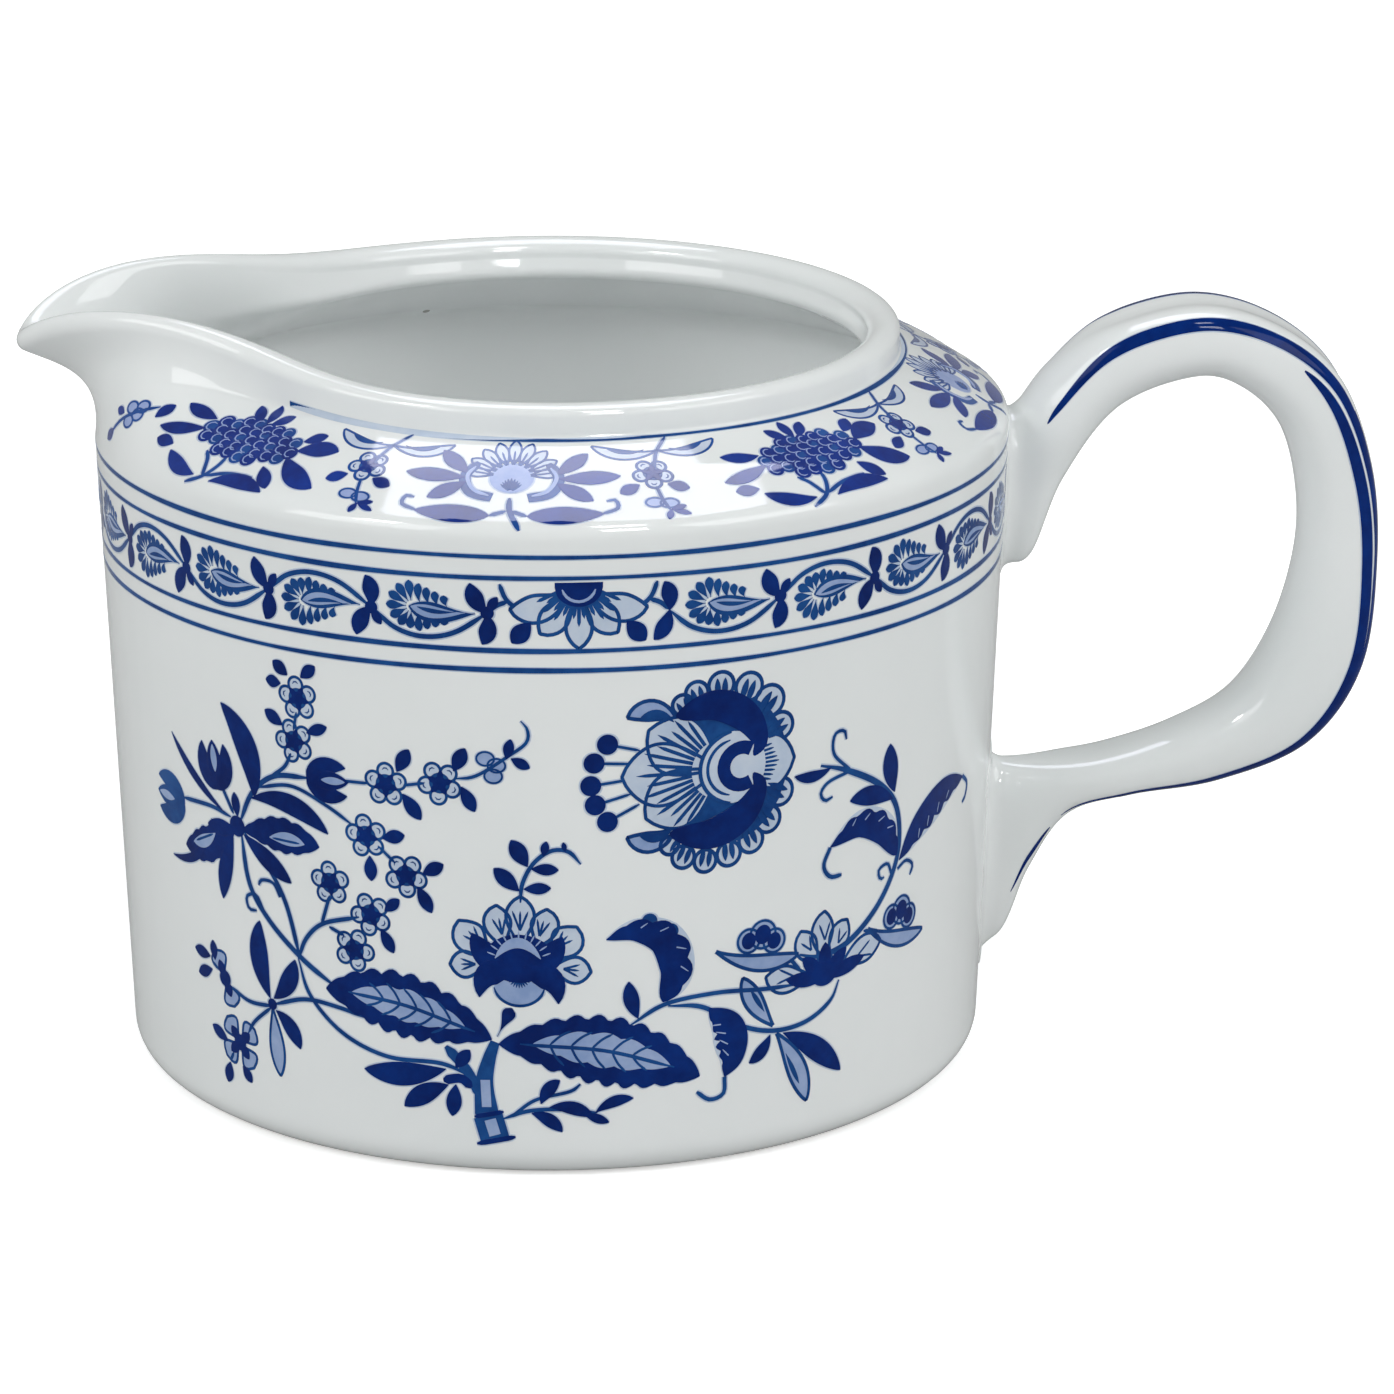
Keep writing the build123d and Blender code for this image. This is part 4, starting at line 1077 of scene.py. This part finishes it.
def draw_handle(pen, shape):
    """Brush strokes along the edges of the handle's outer face, the longer ones overlapping."""
    turn_size = np.linalg.norm(shape[:, 8] - shape[:, 7], axis=1)       # in each section, where strokes run

    def brush(first, last, turn_at, peak, side):
        """One stroke between two sections, along a line of turns, swelling to its peak width."""
        row = np.linspace(first, last, int((last - first) / 0.6))
        share = np.linspace(0.0, 1.0, len(row))
        middle = np.stack([row, side * turn_at(share)], axis=1)
        width = np.maximum(0.12, peak * np.sin(pi * share ** 0.8) ** 0.55)
        half = width / 2 / np.interp(row, np.arange(len(shape)), turn_size)
        across = np.linspace(-1.0, 1.0, 6)[None, :, None] * half[:, None, None]
        for tone, grow in (("halo", 1.18), ("dark", 1.0)):
            grid = middle[:, None, :] + across * grow * np.array([0.0, 1.0])
            pen.lay(tone, grid[:, ::-1])

    brush(41, 122, lambda share: 10.6 - 4.6 * share ** 1.4, 1.25, -1)
    brush(40, 112, lambda share: 4.1 - 0.5 * share, 0.9, 1)
    for side in (-1, 1):
        brush(86, 176, lambda share: 11.9 - 3.4 * smooth_step(share, 0.0, 0.6), 1.1, side)
        brush(96, 164, lambda share: 6.2 + 0.5 * share, 0.8, side)
        brush(180, 199, lambda share: 8.2 + 0.6 * share, 0.7, side)


# ---- materials ----
PORCELAIN_DEEP = (0.843, 0.868, 0.868)
PORCELAIN_LIGHT = (0.883, 0.902, 0.902)
SPECK = (0.30, 0.29, 0.27, 1)
BARE_CLAY = (0.70, 0.66, 0.58, 1)
BARE_HEIGHT = 0.0001        # metres of the foot ring that are free of glaze, and how far that edge wanders
BARE_DRIFT = 0.0004
BARE_ROUGHNESS = 0.75
GLAZE = {"Roughness": 0.05, "IOR": 1.46, "Coat Weight": 0.1, "Coat Roughness": 0.02}
UNDER_SKIN = {"Subsurface Weight": 0.12, "Subsurface Radius": (0.9, 1.0, 0.95), "Subsurface Scale": 0.0015}


class Nodes:
    """Adds nodes to one tree and wires them together."""

    def __init__(self, tree):
        self.tree = tree

    def wire(self, node, inputs):
        """Sets inputs of a node, each to a number, a colour or another node's output."""
        for socket, value in inputs.items():
            if isinstance(value, bpy.types.NodeSocket):
                self.tree.links.new(value, node.inputs[socket])
            else:
                node.inputs[socket].default_value = value

    def add(self, kind, inputs, output=0, **settings):
        """New node with the given inputs and settings; gives one of its outputs, or itself."""
        made = self.tree.nodes.new("ShaderNode" + kind)
        for key, value in settings.items():
            setattr(made, key, value)
        self.wire(made, inputs)
        return made if output is None else made.outputs[output]

    def math(self, operation, first, second):
        """Sum, product or comparison of two values."""
        return self.add("Math", {0: first, 1: second}, operation=operation)

    def mix(self, share, first, second, blend="MIX"):
        """Colour between two others."""
        return self.add("Mix", {0: share, 6: first, 7: second}, 2, data_type="RGBA", blend_type=blend)

    def noise(self, place, scale, detail, roughness=0.5):
        """Cloudy pattern that stays fixed to the object."""
        settings = {"Vector": place, "Scale": scale, "Detail": detail, "Roughness": roughness}
        return self.add("TexNoise", settings)

    def ramp(self, value, *stops):
        """Colour along a value, between two stops of (position, colour)."""
        made = self.add("ValToRGB", {"Fac": value}, None)
        for element, (position, colour) in zip(made.color_ramp.elements, stops):
            element.position = position
            element.color = (*colour, 1)
        return made.outputs["Color"]


def node_material(name):
    """Material, its Principled shader, its nodes and the place of each point."""
    material = bpy.data.materials.new(name)
    material.use_nodes = True
    nodes = Nodes(material.node_tree)
    place = nodes.add("NewGeometry", {}, "Position")
    return material, material.node_tree.nodes["Principled BSDF"], nodes, place


def porcelain(name, foot=False):
    """Cool white body under clear glaze, with faint clouding, sparse specks and perhaps a bare foot ring."""
    material, shader, nodes, place = node_material(name)
    tint = nodes.ramp(nodes.noise(place, 38.0, 4.0, 0.55), (0.32, PORCELAIN_DEEP), (0.68, PORCELAIN_LIGHT))
    cells = nodes.add("TexVoronoi", {"Vector": place, "Scale": 95.0, "Randomness": 1.0}, None)
    spot = nodes.math("LESS_THAN", cells.outputs["Distance"], 0.035)
    chosen = nodes.math("LESS_THAN", nodes.add("SeparateColor", {"Color": cells.outputs["Color"]}), 0.045)
    colour = nodes.mix(nodes.math("MULTIPLY", spot, chosen), tint, SPECK)
    skin = nodes.noise(place, 150.0, 2.0, 0.4)
    bump = nodes.add("Bump", {"Height": skin, "Strength": 0.035, "Distance": 0.0006})
    nodes.wire(shader, {**GLAZE, **UNDER_SKIN, "Normal": bump})
    if foot:
        height = nodes.add("SeparateXYZ", {"Vector": place}, "Z")
        drift = nodes.math("MULTIPLY", nodes.noise(place, 900.0, 2.0), BARE_DRIFT)
        bare = nodes.math("LESS_THAN", height, nodes.math("ADD", drift, BARE_HEIGHT))
        colour = nodes.mix(bare, colour, BARE_CLAY)
        for socket, unglazed in (("Roughness", BARE_ROUGHNESS), ("Coat Weight", 0.0)):
            finish = nodes.add("MapRange", {"Value": bare, "To Min": GLAZE[socket], "To Max": unglazed})
            nodes.wire(shader, {socket: finish})
    nodes.wire(shader, {"Base Color": colour})
    return material


def cobalt(name, light, deep, shine):
    """Underglaze blue whose strength drifts like ink, from a light to a deep tone, under the same glaze."""
    material, shader, nodes, place = node_material(name)
    both = nodes.math("ADD", nodes.noise(place, 620.0, 3.0, 0.6), nodes.noise(place, 136.0, 1.0))
    tone = nodes.ramp(nodes.math("MULTIPLY", both, 0.5), (0.36, deep), (0.66, light))
    nodes.wire(shader, {**GLAZE, "Base Color": tone, "Specular IOR Level": shine, "Coat Weight": 0.2 * shine})
    return material


WALL_SHINE = 0.12
SHOULDER_SHINE = 0.6
WALL_BLUES = {
    "halo": cobalt("blue_bleed", (0.60, 0.67, 0.77), (0.48, 0.57, 0.72), WALL_SHINE),
    "wash": cobalt("pale_blue_wash", (0.37, 0.46, 0.68), (0.24, 0.34, 0.58), WALL_SHINE),
    "line": cobalt("drawn_blue", (0.012, 0.082, 0.29), (0.003, 0.038, 0.18), WALL_SHINE),
    "dark": cobalt("deep_cobalt", (0.001, 0.026, 0.19), (0.0003, 0.012, 0.11), WALL_SHINE),
}
# Painted light: a lit copy of the wall's blues for the up-facing slope. It is the same cobalt, with every
# tone painted paler and bluer where the slope catches the overhead light.
SHOULDER_BLUES_PAINTED_LIGHT = {
    "halo": cobalt("shoulder_bleed_painted_light", (0.62, 0.68, 0.80), (0.50, 0.58, 0.75), SHOULDER_SHINE),
    "wash": cobalt("shoulder_wash_painted_light", (0.38, 0.46, 0.74), (0.25, 0.34, 0.64), SHOULDER_SHINE),
    "line": cobalt("shoulder_drawn_blue_painted_light", (0.010, 0.085, 0.36), (0.003, 0.045, 0.24), SHOULDER_SHINE),
    "dark": cobalt("shoulder_cobalt_painted_light", (0.001, 0.034, 0.30), (0.0003, 0.016, 0.18), SHOULDER_SHINE),
}


def ink_set(surface):
    """One ink for each tone and level."""
    return {(tone, level): Ink(tone, level, surface) for tone in TONES for level in range(LEVELS)}


def finish_inks(inks, name, node, blues=WALL_BLUES):
    """Makes one piece of each tone that was used, out of all its levels."""
    for tone in TONES:
        used = [inks[tone, level] for level in range(LEVELS) if inks[tone, level].count]
        if not used:
            continue
        whole = used[0]
        for extra in used[1:]:
            whole.faces += [faces + whole.count for faces in extra.faces]
            whole.smooth += extra.smooth
            whole.vertices += extra.vertices
            whole.count += extra.count
        whole.make(name + "_" + tone, blues[tone], node)


def printed(surface, draw, name, node, blues=WALL_BLUES):
    """Lays one set of drawings on a surface as pieces that stand for a CAD node."""
    inks = ink_set(surface)
    draw(Pen(inks))
    finish_inks(inks, name, node, blues)


# ---- building ----
vessel = build_vessel(porcelain("glazed_porcelain", foot=True))
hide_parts("jug_body")

handle_points = handle_shape()
handle = build_handle(handle_points, porcelain("glazed_porcelain_handle"))
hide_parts("handle")

slip_material = porcelain("glazed_slip")
for joint in ("upper_slip_joint", "lower_slip_joint"):
    for material_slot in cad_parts[joint].material_slots:
        material_slot.material = slip_material

printed(on_wall, big_spray, "front_branch", "front_spray")
printed(on_wall, lambda pen: big_spray(pen.at(HALF_GIRTH, 0.0)), "back_branch", "back_spray")
printed(on_wall, draw_band, "scroll_band", "band_scroll")
# The shoulder's inks take the lit copy of the blues: painted light on the up-facing slope.
printed(on_shoulder, draw_shoulder, "shoulder_ornament", "shoulder_sprays", blues=SHOULDER_BLUES_PAINTED_LIGHT)
printed(on_wall, lambda pen: draw_wall_rings(pen, UPPER_RINGS),
        "upper_rings", "upper_band_lines")
printed(on_wall, lambda pen: draw_wall_rings(pen, LOWER_RINGS),
        "lower_rings", "lower_band_lines")
printed(on_shoulder, draw_neck_ring, "neck_ring", "neck_line")
printed(handle_surface(handle_points), lambda pen: draw_handle(pen, handle_points),
        "handle_brushwork", "handle_strokes")


# ---- stage ----
FLOOR_SIZE = 6.0             # metres from the jug to each edge
FLOOR_BOUNCE = 0.58          # share of the floor's light that reaches the jug, as if from a small table
FLOOR_GLOW = 0.50            # extra white of the floor towards the camera alone
MIRRORED_SHARE = 0.5         # share of the room's brightness that shows in reflections, as in a dark studio
ROOM_HORIZON = (0.71, 0.725, 0.720)
ROOM_ZENITH = (0.50, 0.515, 0.510)
WHITE = (1.0, 1.0, 1.0, 1)
AIM = (0.0, 0.0, 0.05)       # point that the lights face
SOFTBOX = (0.60, 0.36, 3.25)             # width, height and radiance
OVERHEAD_CARD = (0.62, 0.48, 5.0)
BRIGHT_CARD = (0.15, 0.13, 24.0)
COLD_WHITE = (0.93, 0.94, 1.08)
CARD_PLACES = ((0.20, -0.72, 0.52), (0.17, -0.52, 0.82), (-0.55, -0.40, 0.70))


def build_floor():
    """Plain pale floor."""
    material, shader, nodes, place = node_material("pale_floor")
    tone = nodes.ramp(nodes.noise(place, 6.0, 2.0), (0.0, (0.93, 0.93, 0.93)), (1.0, (0.95, 0.95, 0.95)))
    seen = nodes.add("LightPath", {}, "Is Camera Ray")
    dimmer = nodes.add("MapRange", {"Value": seen, "To Min": FLOOR_BOUNCE, "To Max": 1.0})
    dimmed = nodes.add("VectorMath", {0: tone, "Scale": dimmer}, "Vector", operation="SCALE")
    glow = nodes.math("MULTIPLY", seen, FLOOR_GLOW)
    nodes.wire(shader, {"Base Color": dimmed, "Emission Color": WHITE, "Emission Strength": glow,
                        "Roughness": 0.9, "Specular IOR Level": 0.1})
    mesh = bpy.data.meshes.new("floor")
    edge = FLOOR_SIZE
    corners = [(-edge, -edge, 0), (edge, -edge, 0), (edge, edge, 0), (-edge, edge, 0)]
    mesh.from_pydata(corners, [], [(0, 1, 2, 3)])
    mesh.materials.append(material)
    floor = bpy.data.objects.new("floor", mesh)
    bpy.context.scene.collection.objects.link(floor)


def area_light(name, place, size, colour=(1.0, 1.0, 1.0), only_mirrored=False):
    """Rectangular light of a given width, height and radiance, facing the jug."""
    width, height, radiance = size
    data = bpy.data.lights.new(name, "AREA")
    data.shape = "RECTANGLE"
    data.size, data.size_y = width, height
    data.energy = radiance * pi * width * height
    data.color = colour
    lamp = bpy.data.objects.new(name, data)
    lamp.location = place
    lamp.rotation_euler = (Vector(AIM) - Vector(place)).to_track_quat("-Z", "Y").to_euler()
    lamp.visible_diffuse = not only_mirrored
    bpy.context.scene.collection.objects.link(lamp)


def spot_light(name, place, cone, energy):
    """Narrow soft-edged cone of light that points straight down."""
    data = bpy.data.lights.new(name, "SPOT")
    data.spot_size = cone
    data.spot_blend = 0.5
    data.shadow_soft_size = 0.01
    data.energy = energy
    lamp = bpy.data.objects.new(name, data)
    lamp.location = place
    bpy.context.scene.collection.objects.link(lamp)


def build_lights():
    """Soft boxes on both sides, cards that only show as reflections, and a light into the opening."""
    for side in (-1, 1):
        area_light("side_softbox", (side * 0.62, -0.46, 0.54), SOFTBOX)
    area_light("overhead_card", (0.04, 0.18, 0.85), OVERHEAD_CARD, COLD_WHITE, only_mirrored=True)
    for place in CARD_PLACES:
        area_light("bright_card", place, BRIGHT_CARD, only_mirrored=True)
    spot_light("light_into_the_opening", (0.0, 0.0, 0.55), radians(6.0), 3.5)


def build_room():
    """Even pale room that is white to the camera, dimmer as a light and dimmer still in reflections."""
    world = bpy.data.worlds.new("white_room")
    bpy.context.scene.world = world
    world.use_nodes = True
    nodes = Nodes(world.node_tree)
    way = nodes.add("TexCoord", {}, "Generated")
    rise = nodes.ramp(nodes.add("SeparateXYZ", {"Vector": way}, "Z"), (0.0, ROOM_HORIZON), (0.9, ROOM_ZENITH))
    path = nodes.add("LightPath", {}, None)
    dim = (MIRRORED_SHARE, MIRRORED_SHARE, MIRRORED_SHARE, 1)
    mirrored = nodes.mix(path.outputs["Is Glossy Ray"], rise, dim, "MULTIPLY")
    shown = nodes.mix(path.outputs["Is Camera Ray"], mirrored, WHITE)
    nodes.wire(world.node_tree.nodes["Background"], {"Color": shown, "Strength": 1.0})


def build_camera():
    """Camera a little above the jug, in front, turned a few degrees towards the handle's side."""
    distance, height = 0.5921, 0.2218
    turn, aim, drop = radians(3.0), radians(4.289), radians(17.726)
    data = bpy.data.cameras.new("camera")
    data.sensor_width = 36.0
    data.lens = 172.0
    data.clip_start = 0.05
    camera = bpy.data.objects.new("camera", data)
    camera.location = (-distance * sin(turn), -distance * cos(turn), height)
    ahead = Vector((sin(aim) * cos(drop), cos(aim) * cos(drop), -sin(drop)))
    camera.rotation_mode = "QUATERNION"
    camera.rotation_quaternion = ahead.to_track_quat("-Z", "Y")
    bpy.context.scene.collection.objects.link(camera)
    bpy.context.scene.camera = camera


build_floor()
build_lights()
build_room()
build_camera()
bpy.context.scene.view_settings.view_transform = "Standard"
